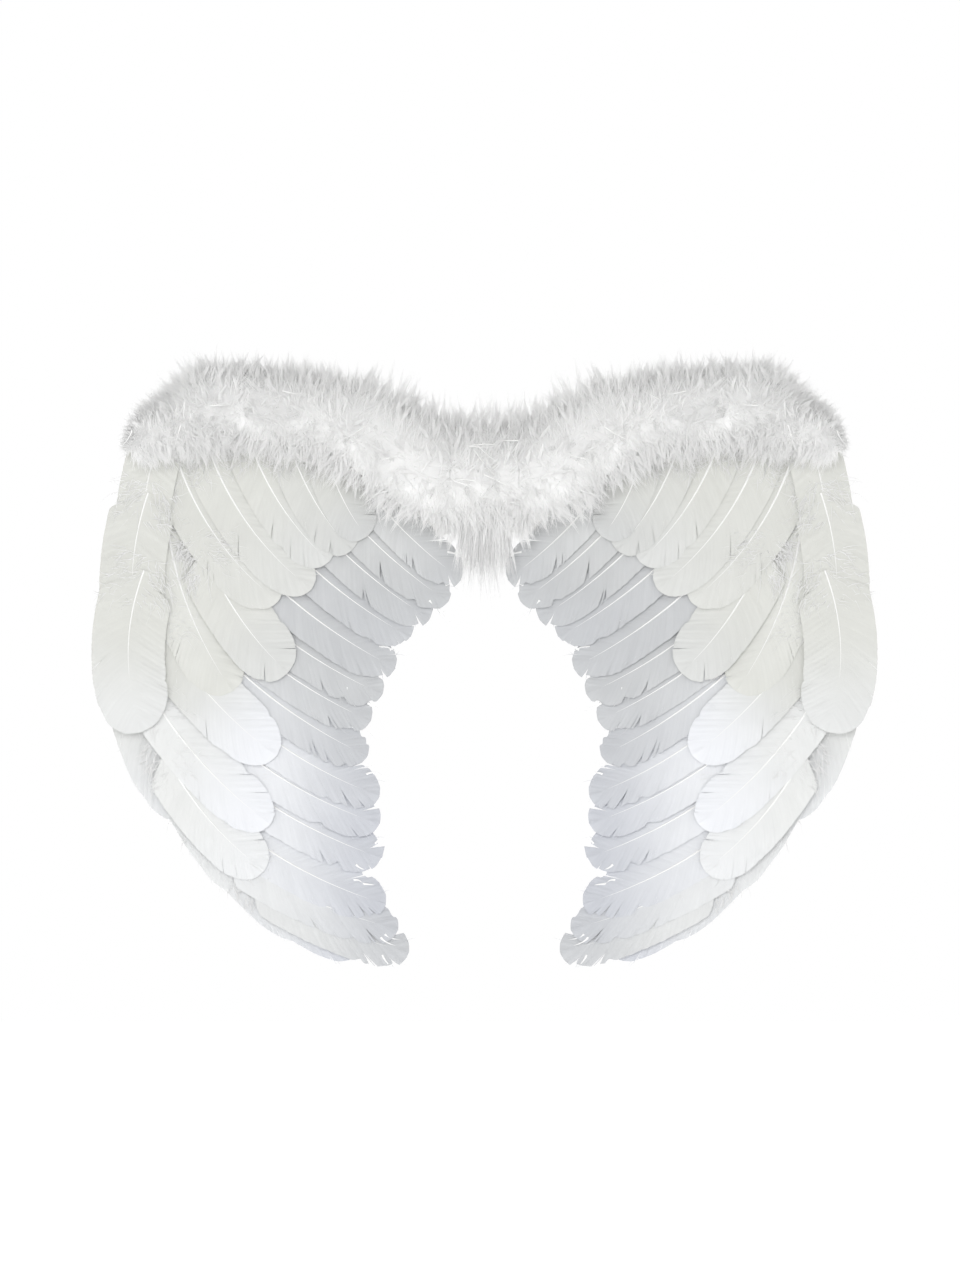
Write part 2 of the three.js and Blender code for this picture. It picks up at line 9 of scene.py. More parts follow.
import bpy
import numpy as np
from bpy.props import FloatProperty, FloatVectorProperty, IntProperty, PointerProperty
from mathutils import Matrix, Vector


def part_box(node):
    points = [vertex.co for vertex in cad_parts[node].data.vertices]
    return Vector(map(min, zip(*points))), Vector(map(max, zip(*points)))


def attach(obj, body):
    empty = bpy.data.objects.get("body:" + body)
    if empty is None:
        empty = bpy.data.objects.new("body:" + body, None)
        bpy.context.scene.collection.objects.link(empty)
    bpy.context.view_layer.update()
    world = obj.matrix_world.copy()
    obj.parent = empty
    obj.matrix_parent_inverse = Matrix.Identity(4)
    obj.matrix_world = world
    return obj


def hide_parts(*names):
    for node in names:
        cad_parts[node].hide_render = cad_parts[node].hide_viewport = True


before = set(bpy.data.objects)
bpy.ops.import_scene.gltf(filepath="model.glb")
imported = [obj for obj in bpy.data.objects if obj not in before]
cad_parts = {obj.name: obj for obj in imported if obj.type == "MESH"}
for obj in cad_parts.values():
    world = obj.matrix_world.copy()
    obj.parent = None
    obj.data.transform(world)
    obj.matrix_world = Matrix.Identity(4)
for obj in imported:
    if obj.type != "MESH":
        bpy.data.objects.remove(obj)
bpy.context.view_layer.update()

bl_info = {
    "name": "Feather Angel Wings",
    "version": (1, 0, 0),
    "blender": (4, 5, 0),
    "location": "View3D > Sidebar > Wings",
    "description": "Dresses a pair of feather costume wings with vanes, quills, fluff, felt and elastic",
    "category": "Object",
}

# Sizes that the wings share with the part, in metres
HALF_SPAN = 0.300
WING_HEIGHT = 0.472
WING_BOW = 0.016
CLEARANCE = 0.0003
FEATHER_WIDTH = 0.036
FEATHER_THICKNESS = 0.0008
FEATHER_CAMBER = 0.0003
CLUSTER_RISE = 0.6          # share of a thickness from one feather of a cluster to the next
QUILL_SHARE = 0.14
QUILL_END = 0.01
VANE_FULL = 0.18
TIP_START = 0.7
TIP_POWER = 2.6
TIP_WIDTH = 0.12
PANEL_THICKNESS = 0.0015
PAD_HALF_WIDTH = 0.046
PAD_TOP = 0.034
PAD_BOTTOM = -0.042
PAD_CORNER = 0.012
PAD_THICKNESS = 0.003
TRIM_DEPTH = 0.028
TRIM_HALF_HEIGHT = 0.040
CENTRE_HALF_WIDTH = 0.026
LOOP_REACH = 0.112
LOOP_TOP = 0.030
LOOP_BOTTOM = -0.038
LOOP_THICKNESS = 0.0015
LOOP_WIDTH = 0.012
LOOP_OFFSET = 0.031
LOOP_NEAR_RADIUS = 0.008
PANEL_FRONT = PAD_THICKNESS + CLEARANCE + PANEL_THICKNESS
SIDES = {"left": -1, "right": 1}
FORWARD = (0.0, -1.0, 0.0)

# Feathers of one wing, rows as in the part. Root and tip are shares: out of HALF_SPAN, down of
# WING_HEIGHT. bend is a share of the length, width one of FEATHER_WIDTH. The grey and cool values say
# how grey and how cool the vane is at its root and at its tip, from 0 to 1. The grey is partly the
# vane's own and partly painted shade, greyest at the inner tips.
Feather = namedtuple("Feather", "name root_out root_down tip_out tip_down bend width "
                                "dusk_root dusk_tip cool_root cool_tip")
FLIGHT_ROW = [Feather(*row) for row in (
    ("secondary_1", 0.300, 0.020, 0.060, 0.168, 0.04, 0.95, 0.65, 0.90, 0.45, 0.60),
    ("secondary_2", 0.385, 0.035, 0.092, 0.205, 0.04, 1.00, 0.75, 1.00, 0.45, 0.60),
    ("secondary_3", 0.440, 0.070, 0.140, 0.232, 0.04, 1.00, 0.85, 1.00, 0.50, 0.65),
    ("secondary_4", 0.510, 0.105, 0.190, 0.262, 0.04, 1.05, 0.90, 1.00, 0.60, 0.70),
    ("secondary_5", 0.570, 0.155, 0.228, 0.312, 0.04, 1.10, 0.90, 1.00, 0.60, 0.65),
    ("secondary_6", 0.590, 0.220, 0.260, 0.355, 0.04, 1.05, 0.80, 0.95, 0.55, 0.60),
    ("secondary_7", 0.605, 0.270, 0.290, 0.398, 0.04, 1.00, 0.70, 0.92, 0.60, 0.65),
    ("secondary_8", 0.635, 0.310, 0.298, 0.455, 0.04, 1.05, 0.50, 1.00, 0.70, 0.75),
    ("secondary_9", 0.640, 0.375, 0.268, 0.520, 0.05, 1.05, 0.10, 0.92, 0.80, 0.90),
    ("secondary_10", 0.655, 0.425, 0.268, 0.565, 0.05, 1.05, 0.00, 0.88, 0.80, 1.00),
    ("primary_1", 0.620, 0.500, 0.264, 0.620, 0.04, 1.10, 0.15, 0.93, 0.80, 1.00),
    ("primary_2", 0.650, 0.560, 0.252, 0.695, 0.05, 1.10, 0.25, 0.93, 0.80, 1.00),
    ("primary_3", 0.660, 0.607, 0.220, 0.735, 0.05, 1.05, 0.20, 0.93, 0.55, 0.80),
    ("primary_4", 0.600, 0.655, 0.193, 0.772, 0.05, 1.00, 0.30, 0.90, 0.45, 0.65),
)]
OUTER_ROW = [Feather(*row) for row in (
    ("primary_5", 0.850, 0.350, 0.545, 0.565, 0.05, 1.20, 0.02, 0.00, 0.40, 0.90),
    ("primary_6", 0.815, 0.445, 0.560, 0.640, 0.06, 1.20, 0.04, 0.02, 0.35, 0.60),
)]
MID_ROW = [Feather(*row) for row in (
    ("mid_covert_1", 0.715, 0.115, 0.500, 0.320, 0.06, 1.35, 0.30, 0.45, 0.0, 0.3),
    # mid_covert_2 has no grey at its root, paler than its row: painted light that lifts the shade in its
    # hollow
    ("mid_covert_2", 0.806, 0.080, 0.640, 0.350, 0.06, 1.38, 0.00, 0.25, 0.0, 0.0),
    ("mid_covert_3", 0.860, 0.215, 0.530, 0.455, 0.05, 1.35, 0.35, 0.00, 0.00, 0.90),
)]
UPPER_ROW = [Feather(*row) for row in (
    ("upper_covert_1", 0.402, -0.040, 0.300, 0.100, 0.06, 1.00, 0.45, 0.75, 0.1, 0.4),
    ("upper_covert_2", 0.497, -0.055, 0.338, 0.122, 0.06, 1.05, 0.40, 0.60, 0.1, 0.3),
    ("upper_covert_3", 0.604, -0.070, 0.395, 0.140, 0.07, 1.15, 0.30, 0.40, 0.0, 0.3),
    ("upper_covert_4", 0.712, -0.065, 0.440, 0.185, 0.08, 1.20, 0.30, 0.35, 0.0, 0.2),
    ("upper_covert_5", 0.790, -0.045, 0.525, 0.205, 0.08, 1.30, 0.35, 0.30, 0.0, 0.1),
)]
EDGE_CLUSTER = [Feather(*row) for row in (
    ("edge_top", 0.820, -0.062, 0.868, 0.140, 0.05, 1.15, 0.30, 0.35, 0.0, 0.0),
    ("edge_upper", 0.852, 0.030, 0.884, 0.260, 0.06, 1.38, 0.35, 0.35, 0.0, 0.0),
    ("edge_lower", 0.862, 0.155, 0.868, 0.415, 0.09, 1.55, 0.35, 0.20, 0.0, 0.4),
)]
RIM_CLUSTER = [Feather(*row) for row in (
    ("rim_upper", 0.920, 0.220, 0.775, 0.555, 0.08, 1.00, 0.25, 0.10, 0.2, 0.6),
    ("rim_middle", 0.845, 0.410, 0.620, 0.672, 0.05, 0.80, 0.12, 0.12, 0.5, 0.5),
    ("rim_lower", 0.755, 0.540, 0.455, 0.748, 0.05, 0.80, 0.20, 0.40, 0.5, 0.7),
    ("rim_tip", 0.620, 0.650, 0.325, 0.774, 0.05, 0.80, 0.35, 0.75, 0.6, 1.0),
)]

# Backing panel of one wing: points of the outer and the inner edge, as shares
PANEL_STATIONS = np.array([
    # outer_out, outer_down, inner_out, inner_down
    [0.010, -0.070, 0.010, 0.085],
    [0.130, -0.088, 0.150, 0.105],
    [0.265, -0.130, 0.280, 0.150],
    [0.440, -0.150, 0.390, 0.215],
    [0.640, -0.165, 0.470, 0.265],
    [0.810, -0.125, 0.510, 0.305],
    [0.885, -0.035, 0.545, 0.345],
    [0.925, 0.090, 0.570, 0.390],
    [0.940, 0.235, 0.580, 0.440],
    [0.905, 0.370, 0.565, 0.495],
    [0.830, 0.490, 0.535, 0.560],
    [0.725, 0.585, 0.495, 0.625],
    [0.610, 0.665, 0.450, 0.675],
    [0.480, 0.720, 0.405, 0.712],
])

# Trim of one wing and its section, as in the part
TRIM_STATIONS = np.array([
    # out, down, height, lean in degrees, lift
    [0.088, 0.000, 1.19, 0, 0],
    [0.200, -0.024, 1.24, -12, 0],
    [0.300, -0.066, 1.11, -12, 0],
    [0.400, -0.089, 0.95, -5, 0],
    [0.500, -0.100, 0.93, -3, 0],
    [0.610, -0.108, 0.92, 2, 0],
    [0.710, -0.105, 0.92, 12, 0],
    [0.776, -0.078, 0.74, 32, 0.4],
    [0.842, -0.060, 0.52, 50, 1],
    [0.880, -0.034, 0.22, 65, 1],
])
TRIM_SECTION = np.array([
    # across, back, front
    [-1.00, 1.00, 0.10],
    [-0.90, 1.00, 0.00],
    [-0.45, 1.00, 0.00],
    [0.15, 0.00, 0.00],
    [0.85, 0.00, 0.00],
    [1.00, 0.00, 0.22],
    [0.90, 0.00, 0.50],
    [0.55, 0.25, 0.80],
    [0.05, 0.60, 0.95],
    [-0.45, 0.85, 0.92],
    [-0.85, 1.00, 0.55],
])

# Finish of a feather
VANE_ROWS = np.array([0, 0.2, 0.4, 0.6, 0.8, 1.0])      # places across the vane, from the shaft
BLADE_ROWS = np.array([0, 0.05, 0.11, VANE_FULL, 0.44, TIP_START, 0.83, 0.92, 0.975, 1])
TONE_SPAN = (0.3, 0.95)     # where a vane's tone goes from that of its root to that of its tip
LEAST_BARBS = 24            # locks of barbs on the shortest vane
BARB_LEAD = 1.45            # how strongly the barbs sweep towards the tip
BARB_SWEEP = 1.15           # how late along a barb that sweep comes
BARB_END = 0.95             # place on the shaft of the last barb
RIPPLE = 0.00011            # relief of the locks of barbs
TIP_CLOSING = 0.05          # share of the barbs that close the vane's end
FRAY = 0.018                # how unequal the barbs' ends are
EDGE_WAVES = ((4, 7), (9, 14), (18, 26))    # least and greatest number of each wave along an edge
NOTCH = 0.18                # deepest notch in a worn edge, as a share of the half width
NOTCH_PLACE = (0.55, 0.95)
NOTCH_WIDTH = (0.02, 0.05)
SPLIT_PLACE = (0.45, 0.93)  # between which barbs a vane may split
SPLIT_START = (0.3, 0.75)   # where across the vane a split begins
SPLIT_FULL = 1.15           # where across the vane a split would be fully open
SPLIT_FADE = 0.06           # how far along the vane a split pushes barbs aside
LOCK_DROOP = 0.0003         # most that a lock of barbs bends out of the vane
QUILL_STATIONS = 34
QUILL_REACH = 0.93          # share of the feather along which its shaft shows
QUILL_TIP = 0.08            # the shaft's width at its end, as a share of that at its root
QUILL_BROAD = 1.15          # most that a broad feather widens its shaft
QUILL_HEIGHT = 0.00055      # most that the shaft's half height is
QUILL_OVAL = 0.75           # height of a thin shaft, as a share of its width
FLAT_QUILL = (0.6, 0.7)     # width and height of a cluster's shafts, as shares of the others'
SINK = 0.0001               # how far shafts and loose barbs are sunk into the vane

# Materials of a feather, by their place on it
VANE, HORN, DOWN = range(3)

# Loose hairs of a feather: where they start along the shaft and across the vane, their length, how
# much they lean along the shaft and forward, width, how unruly they are, rings, material and tone.
# With no tone of their own they have the vane's, paler by LOOSE_PALER.
Wisps = namedtuple("Wisps", "low high near far length lead forward width ruffle rings slot tone")
LOOSE_BARBS = Wisps(0.55, 0.97, 0.7, 0.9, 0.006, 0.9, 0.05, 0.0004, 0.2, 2, VANE, None)
CURLS = Wisps(0.74, 0.94, 0.35, 0.85, 0.015, 1.3, 0.1, 0.0017, 0.35, 4, DOWN, (0.0, 1.0))
BASE_DOWN = Wisps(-0.08, 0.22, 0.0, 0.85, 0.014, 0.5, 0.2, 0.0006, 0.4, 2, DOWN, (0.40, 1.0))
LOOSE_PALER = 0.3
BARB_ENDS = 14              # loose barbs at a feather's edge

# Finish of the trim
CORE_SHARE = 0.68           # the soft core's size, as a share of the trim's own section
CORE_RINGS = 110            # rings along a run of the core
CORE_SIDES = 44             # points round each of them
END_GREY = 0.15             # shade of a run's two ends
TALLEST = 1.25              # how much taller a run is at its tallest than where its hairs are full
LEAST_HAIR = 0.4            # shortest hairs of a low section, as a share
CREST_RISE = 0.4            # how much longer the crest's locks are near the middle of the wings
CREST_END = (0.085, 0.115)  # distances from the middle between which that ends
CREST_SIDES = 3             # half the number of points round a ring's top where the crest grows
FRINGE_EDGE = -0.45         # place across the section below which the fringe grows
SHOULDER = 0.80             # place along the trim where its hairs start to turn down over the edge
SHOULDER_FALL = (0.1, 0.0, -1.2)
SHOULDER_TURN = 0.62        # how far hairs of the middle turn with the shoulder
SHOULDER_SIDE = 0.38        # how much further the lower side turns, and how much less the upper
SHOULDER_LONGER = 0.3       # how much longer the lower hairs are over the shoulder
SWIRL = 0.7                 # how far the comb turns from place to place
SWIRL_WAVES = 4
COMB_OUT = 0.1              # how far the hairs lean outward along the trim
COMB_UP = 0.9               # how far they lie up or down the section
COMB_STRAY = 0.25           # how far each leans its own way along the trim
COMB_SPREAD = 0.30          # how far neighbouring hairs fan out
COAT_LIFT = 0.34            # how far the coat of hairs stands off the core
COAT_SCATTER = 0.0012       # how far the roots of the coat are scattered
PARTING = 0.05              # place across the section where the coat parts to both sides
LOCK_ROOT = 0.002           # how far a lock's root is sunk
LOCK_SIDE = 0.8             # how far a lock of the front lies to the side where it starts
Trim = namedtuple("Trim", "core normals across rear up outward size crest shoulder")

# Locks of the trim: their number as a share of the setting, where they start, the side that they lie
# to, which is their own without one, how far they lift off the core, reach and thickness
Locks = namedtuple("Locks", "share place side lift reach thick")
TRIM_LOCKS = (
    Locks(1.7, "front", None, 0.42, 0.021, 0.0013),
    Locks(0.7, "fringe", -1.0, 0.30, 0.027, 0.0017),
    Locks(1.0, "crest", 1.0, 0.10, 0.024, 0.0014),
)

# Grey of the down: some all over, more along the top edge as painted shade, less in a patch low down in the
# middle
DOWN_GREY = 0.12
TOP_PAINTED_SHADE = 0.01
TOP_START = (0.25, 0.6)
PATCH_END = (0.012, 0.035)
PATCH_TOP = (-0.5, -0.1)

# Stray quills in the down: how far off the core, length, half width, bow and number on each run
STRAY_LIFT = 0.0075
STRAY_LENGTH = (0.012, 0.024)
STRAY_HALF_WIDTH = 0.00055
STRAY_BOW = 0.25
STRAY_SLANT = 4             # most points of a ring that a stray quill crosses
WING_STRAYS = 8
CENTRE_STRAYS = 10

# The tuft below the centre: groups of strands with their number, half spread, length, and least and greatest
# painted shade
Tuft = namedtuple("Tuft", "count spread length dusk_low dusk_high")
TUFT_GROUPS = (Tuft(56, 0.015, 0.072, 0.1, 0.7), Tuft(44, 0.034, 0.036, 0.0, 0.4))
TUFT_TOP = 0.72             # height of its roots, as a share of the trim's half height
TUFT_DEPTH = 0.3            # depth of its roots, as a share of the trim's
TUFT_ROUND = 0.3            # how much shorter the strands at its corners are
TUFT_THICK = 0.0016
TUFT_HAIR = 0.0005

# Finish of the backing
FELT_RIM = 0.35             # thickness of a panel's rim, as a share
PANEL_GRID = (70, 15)
SEAM_INSET = 0.005          # from a panel's edge to its seam
SEAM_SINK = 0.98            # height of a panel's seam on the felt, as a share
PAD_RINGS = np.array([
    # inset, thickness share
    [0.0000, 0.25],
    [0.0004, 0.62],
    [0.0012, 0.90],
    [0.0034, 0.94],
    [0.0042, 0.72],
    [0.0052, 0.94],
    [0.0085, 1.00],
    [0.0115, 1.00],
])
PAD_GROOVE = 4              # the ring of the pad that holds its seam
STITCH_GAP = 0.45           # share of a stitch's length that is free between two
THREAD_LIFT = 0.00035
THREAD_RADIUS = 0.00028
THREAD_ARCH = np.array([0.1, 0.8, 1, 0.8, 0.1])
THREAD_TAPER = np.array([0.5, 1, 1, 1, 0.5])
THREAD_GIRTH = 0.01         # what goes round a thread or a quill on its UV map
LOOP_RINGS = 160
LOOP_COLUMNS = 25
LOOP_RIBS = 2.5             # half waves of ribs on each half of the band
RIB_DEPTH = 0.14
LOOP_SEAM = 0.014           # from a loop's top and bottom to its seams
LOOP_STITCH = 0.7           # length of their stitches, as a share of the others'

# Studio. The camera's aim and height of view are those of the photograph.
AIM_X = -0.0034
AIM_Z = -0.1261
VIEW_HEIGHT = 0.9784
FEATHER_PLANE = 0.010
SENSOR = 36
FLOOR_REACH = 2.2
FLOOR_THICKNESS = 0.02
WORLD_LIGHT = 0.42
LIGHTS = {
    # place, size and power
    "key": ((-0.35, -2.7, 0.45), 1.0, 20.6),
    "fill_left": ((-1.5, -2.3, -0.1), 1.6, 5),
    "fill_right": ((1.5, -2.3, -0.1), 1.6, 5),
    "side_left": ((-2.4, -0.3, 0.1), 1.6, 5),
    "side_right": ((2.4, -0.3, 0.1), 1.6, 5),
    "back": ((0.0, 1.8, 1.3), 1.6, 14),
}


# Sizes and colours that a user would change
class FeatherSettings(bpy.types.PropertyGroup):
    """Sizes and colours of the feathers"""
    vane: FloatProperty(name="Vane thickness", description="Thickness of the web of barbs",
                        default=0.0003, unit="LENGTH")
    crown: FloatProperty(name="Crown", description="How far the shaft stands in front of the vane's edges",
                         default=0.0009, unit="LENGTH")
    barb_pitch: FloatProperty(name="Barb pitch", description="Width of one lock of barbs",
                              default=0.0012, unit="LENGTH")
    quill: FloatProperty(name="Quill width", description="Width of the shaft at its root",
                         default=0.0019, unit="LENGTH")
    split_gap: FloatProperty(name="Split gap", description="Widest opening of a split in the vane",
                             default=0.0026, unit="LENGTH")
    cream: FloatVectorProperty(name="Cream vane", description="Colour of the upper feathers",
                               subtype="COLOR", size=3, default=(0.76, 0.766, 0.728))
    # The cream shade colour goes where a cream vane is greyest: painted shade, with some grey of its own
    cream_painted_shade: FloatVectorProperty(name="Cream shade", description="Greyest colour of the upper feathers",
                                    subtype="COLOR", size=3, default=(0.56, 0.563, 0.528))
    cool: FloatVectorProperty(name="Cool vane", description="Colour of the flight feathers",
                              subtype="COLOR", size=3, default=(0.865, 0.88, 0.92))
    # The cool shade colour goes where a flight feather is greyest, at the inner tips: painted shade
    cool_painted_shade: FloatVectorProperty(name="Cool shade", description="Greyest colour of the flight feathers",
                                   subtype="COLOR", size=3, default=(0.56, 0.577, 0.622))
    quill_colour: FloatVectorProperty(name="Quill", description="Colour of the shafts",
                                      subtype="COLOR", size=3, default=(0.98, 0.98, 0.97))


class FluffSettings(bpy.types.PropertyGroup):
    """Sizes and colours of the marabou"""
    hairs: IntProperty(name="Hairs on a wing", description="Hairs over each wing's trim",
                       default=9300, min=100)
    locks: IntProperty(name="Locks at an edge", description="Pointed locks along each top edge",
                       default=230, min=5)
    lock_hairs: IntProperty(name="Hairs in a lock", description="Hairs that meet in a point",
                            default=11, min=2)
    length: FloatProperty(name="Hair length", description="Length of an average hair",
                          default=0.023, unit="LENGTH")
    width: FloatProperty(name="Hair width", description="Width of a hair at its root",
                         default=0.00048, unit="LENGTH")
    centre_share: FloatProperty(name="Centre share", description="Hairs on the centre for each one on a wing",
                                default=0.2, min=0)
    white: FloatVectorProperty(name="Down", description="Colour of the down", subtype="COLOR", size=3,
                               default=(0.98, 0.98, 0.975))
    # The down shade colour goes where the down is greyest: painted shade along its top edge and in the tuft
    dusk: FloatVectorProperty(name="Down shade", description="Greyest colour of the down",
                              subtype="COLOR", size=3, default=(0.62, 0.62, 0.62))


class BackSettings(bpy.types.PropertyGroup):
    """Sizes and colours of the backing"""
    felt: FloatVectorProperty(name="Felt", description="Colour of the panels and the pad",
                              subtype="COLOR", size=3, default=(0.82, 0.82, 0.80))
    elastic: FloatVectorProperty(name="Elastic", description="Colour of the arm loops",
                                 subtype="COLOR", size=3, default=(0.86, 0.86, 0.85))
    stitch: FloatProperty(name="Stitch", description="Length of one stitch", default=0.0032, unit="LENGTH")


class StageSettings(bpy.types.PropertyGroup):
    """Sizes and colours of the studio"""
    floor: FloatVectorProperty(name="Floor", description="Colour of the floor", subtype="COLOR", size=3,
                               default=(0.90, 0.90, 0.90))
    floor_height: FloatProperty(name="Floor height", description="Height of the floor",
                                default=-0.62, unit="LENGTH")
    distance: FloatProperty(name="Camera distance", description="From the camera to the feathers",
                            default=3.2, unit="LENGTH")


class AngelWings(bpy.types.PropertyGroup):
    """All settings of the wings"""
    feathers: PointerProperty(type=FeatherSettings)
    fluff: PointerProperty(type=FluffSettings)
    back: PointerProperty(type=BackSettings)
    stage: PointerProperty(type=StageSettings)


# Small sums on arrays
def smooth(low, high, value):
    """0 below low, 1 above high and 3 t squared less 2 t cubed between them, for the share t."""
    t = np.clip((value - low) / (high - low), 0, 1)
    return t * t * (3 - 2 * t)


def unit(vectors):
    """Each vector divided by its own length."""
    return vectors / np.maximum(np.linalg.norm(vectors, axis=-1, keepdims=True), 1e-12)


def resample(points, count, axis=0, closed=False):
    """Points along an axis made smooth: a Catmull-Rom cubic through them, read at count places."""
    points = np.moveaxis(points, axis, 0)
    size = len(points)
    place = np.linspace(0, size if closed else size - 1, count, endpoint=not closed)
    start = np.minimum(np.floor(place).astype(int), size - 1 if closed else size - 2)
    t = (place - start).reshape((-1,) + (1,) * (points.ndim - 1))
    wrap = (lambda i: i % size) if closed else (lambda i: np.clip(i, 0, size - 1))
    a, b, c, d = (points[wrap(start + k)] for k in (-1, 0, 1, 2))
    result = b + 0.5 * t * (c - a + t * (2 * a - 5 * b + 4 * c - d + t * (3 * (b - c) + d - a)))
    return np.moveaxis(result, 0, axis)


def run_of(path):
    """How far along a path each of its points lies: the sum of the chords before it."""
    return np.append(0, np.cumsum(np.linalg.norm(np.diff(path, axis=0), axis=1)))


def on_path(path, run, places):
    """Points at these distances along a path, on the straight lines between its points."""
    return np.stack([np.interp(places, run, column) for column in path.T], -1)


def bow(x):
    """The wing's plane curves away from the wearer with the square of the way past the pad."""
    past = np.maximum(0, np.abs(x) - PAD_HALF_WIDTH) / (HALF_SPAN - PAD_HALF_WIDTH)
    return WING_BOW * past ** 2


# Meshes
class Form:
    """One piece's vertices and faces, with a place on its UV map, a grey and painted shade and a material for
    each.
    """

    def __init__(self):
        self.vertices, self.faces, self.uvs, self.tones = [], [], [], []
        self.count = 0

    def add(self, vertices, faces, uv=None, tone=(0.0, 0.0), slot=0):
        """Adds a closed shape. faces is a list of index arrays; tone is its grey and painted shade, and its
        cool.
        """
        vertices = np.asarray(vertices, float).reshape(-1, 3)
        if signed_volume(vertices, faces) < 0:
            faces = [f[:, ::-1] for f in faces]
        self.vertices.append(vertices)
        self.faces += [(f + self.count, slot) for f in faces]
        self.uvs.append(np.zeros((len(vertices), 2)) if uv is None else np.asarray(uv, float).reshape(-1, 2))
        self.tones.append([np.broadcast_to(np.ravel(t), len(vertices)) for t in tone])
        self.count += len(vertices)

    def piece(self, name, materials, side=1):
        """The mesh object, mirrored in X for side -1, with smooth faces and sharp rims."""
        vertices = np.concatenate(self.vertices) * (side, 1, 1)
        faces, slots = [], []
        for block, slot in self.faces:
            faces += (block[:, ::-1] if side < 0 else block).tolist()
            slots += [slot] * len(block)
        mesh = bpy.data.meshes.new(name)
        mesh.from_pydata(vertices.tolist(), [], faces)
        mesh.polygons.foreach_set("material_index", slots)
        mesh.polygons.foreach_set("use_smooth", [True] * len(faces))
        corner = np.zeros(len(mesh.loops), int)
        mesh.loops.foreach_get("vertex_index", corner)
        mesh.uv_layers.new(name="UVMap").uv.foreach_set("vector", np.concatenate(self.uvs)[corner].ravel())
        for key, values in zip(("dusk", "cool"), np.concatenate(self.tones, axis=1)):
            mesh.attributes.new(key, "FLOAT", "POINT").data.foreach_set("value", values)
        mesh.update()
        mesh.set_sharp_from_angle(angle=math.radians(55))
        for material in materials:
            mesh.materials.append(material)
        obj = bpy.data.objects.new(name, mesh)
        bpy.context.scene.collection.objects.link(obj)
        return obj


def signed_volume(vertices, faces):
    """Sum over the faces' triangles of a sixth of corner dot (corner cross corner)."""
    volume = 0.0
    for block in faces:
        for k in range(1, block.shape[1] - 1):
            a, b, c = vertices[block[:, 0]], vertices[block[:, k]], vertices[block[:, k + 1]]
            volume += np.einsum("ij,ij->", a, np.cross(b, c))
    return volume / 6


def sheet_faces(rows, columns):
    """Quads of a closed sheet: a front grid, a back grid after it, and walls round the rim."""
    front = np.arange(rows * columns).reshape(rows, columns)
    back = front + rows * columns

    def quads(grid):
        return np.stack([grid[:-1, :-1], grid[1:, :-1], grid[1:, 1:], grid[:-1, 1:]], -1).reshape(-1, 4)

    rim = np.concatenate([front[0, :-1], front[:-1, -1], front[-1, :0:-1], front[:0:-1, 0]])
    rim_next = np.roll(rim, -1)
    walls = np.stack([rim, rim_next, rim_next + rows * columns, rim + rows * columns], -1)
    return [quads(front), quads(back)[:, ::-1], walls]


def ring_walls(grid):
    """Quads between neighbouring rings, where each row of the grid holds one ring's vertices."""
    turned = np.roll(grid, -1, axis=1)
    return np.stack([grid[:-1], turned[:-1], turned[1:], grid[1:]], -1).reshape(-1, 4)


def tube(form, centres, across, up, wide, high, sides, length):
    """A closed tube of the second material, with this length on its UV map.

    Round each centre runs an ellipse, wide times cosine across and high times sine up.
    """
    across, up = (np.broadcast_to(v, centres.shape) for v in (across, up))
    angle = np.arange(sides) * 2 * np.pi / sides
    rings = (centres[:, None]
             + across[:, None] * (wide[:, None] * np.cos(angle))[..., None]
             + up[:, None] * (high[:, None] * np.sin(angle))[..., None])
    n = len(centres)
    grid = np.arange(n * sides).reshape(n, sides)
    first, last = (np.stack([np.full(sides - 2, ring[0]), ring[1:-1], ring[2:]], -1)
                   for ring in (grid[0], grid[-1]))
    u = np.repeat(np.linspace(0, length, n), sides)
    v = np.tile(angle / (2 * np.pi) * THREAD_GIRTH, n)
    form.add(rings, [ring_walls(grid), first[:, ::-1], last], np.stack([u, v], -1), slot=1)


def skin(form, rings, dusk):
    """A closed skin over rings of points, with a fan over each end."""
    n, sides, _ = rings.shape
    grid = np.arange(n * sides).reshape(n, sides)
    turned = np.roll(grid, -1, axis=1)
    ends = np.stack([rings[0].mean(axis=0), rings[-1].mean(axis=0)])
    first = np.stack([turned[0], grid[0], np.full(sides, n * sides)], -1)
    last = np.stack([grid[-1], turned[-1], np.full(sides, n * sides + 1)], -1)
    vertices = np.concatenate([rings.reshape(-1, 3), ends])
    form.add(vertices, [ring_walls(grid), first, last], None, (np.append(dusk, [END_GREY, END_GREY]), 1.0))


def normals_of(grid):
    """Outward unit normals of a closed skin over rings: one tangent crossed with the other."""
    along = np.gradient(grid, axis=0)
    around = np.roll(grid, -1, axis=1) - np.roll(grid, 1, axis=1)
    normal = unit(np.cross(along, around))
    outward = grid - grid.mean(axis=1, keepdims=True)
    return normal * np.sign((normal * outward).sum(-1, keepdims=True))


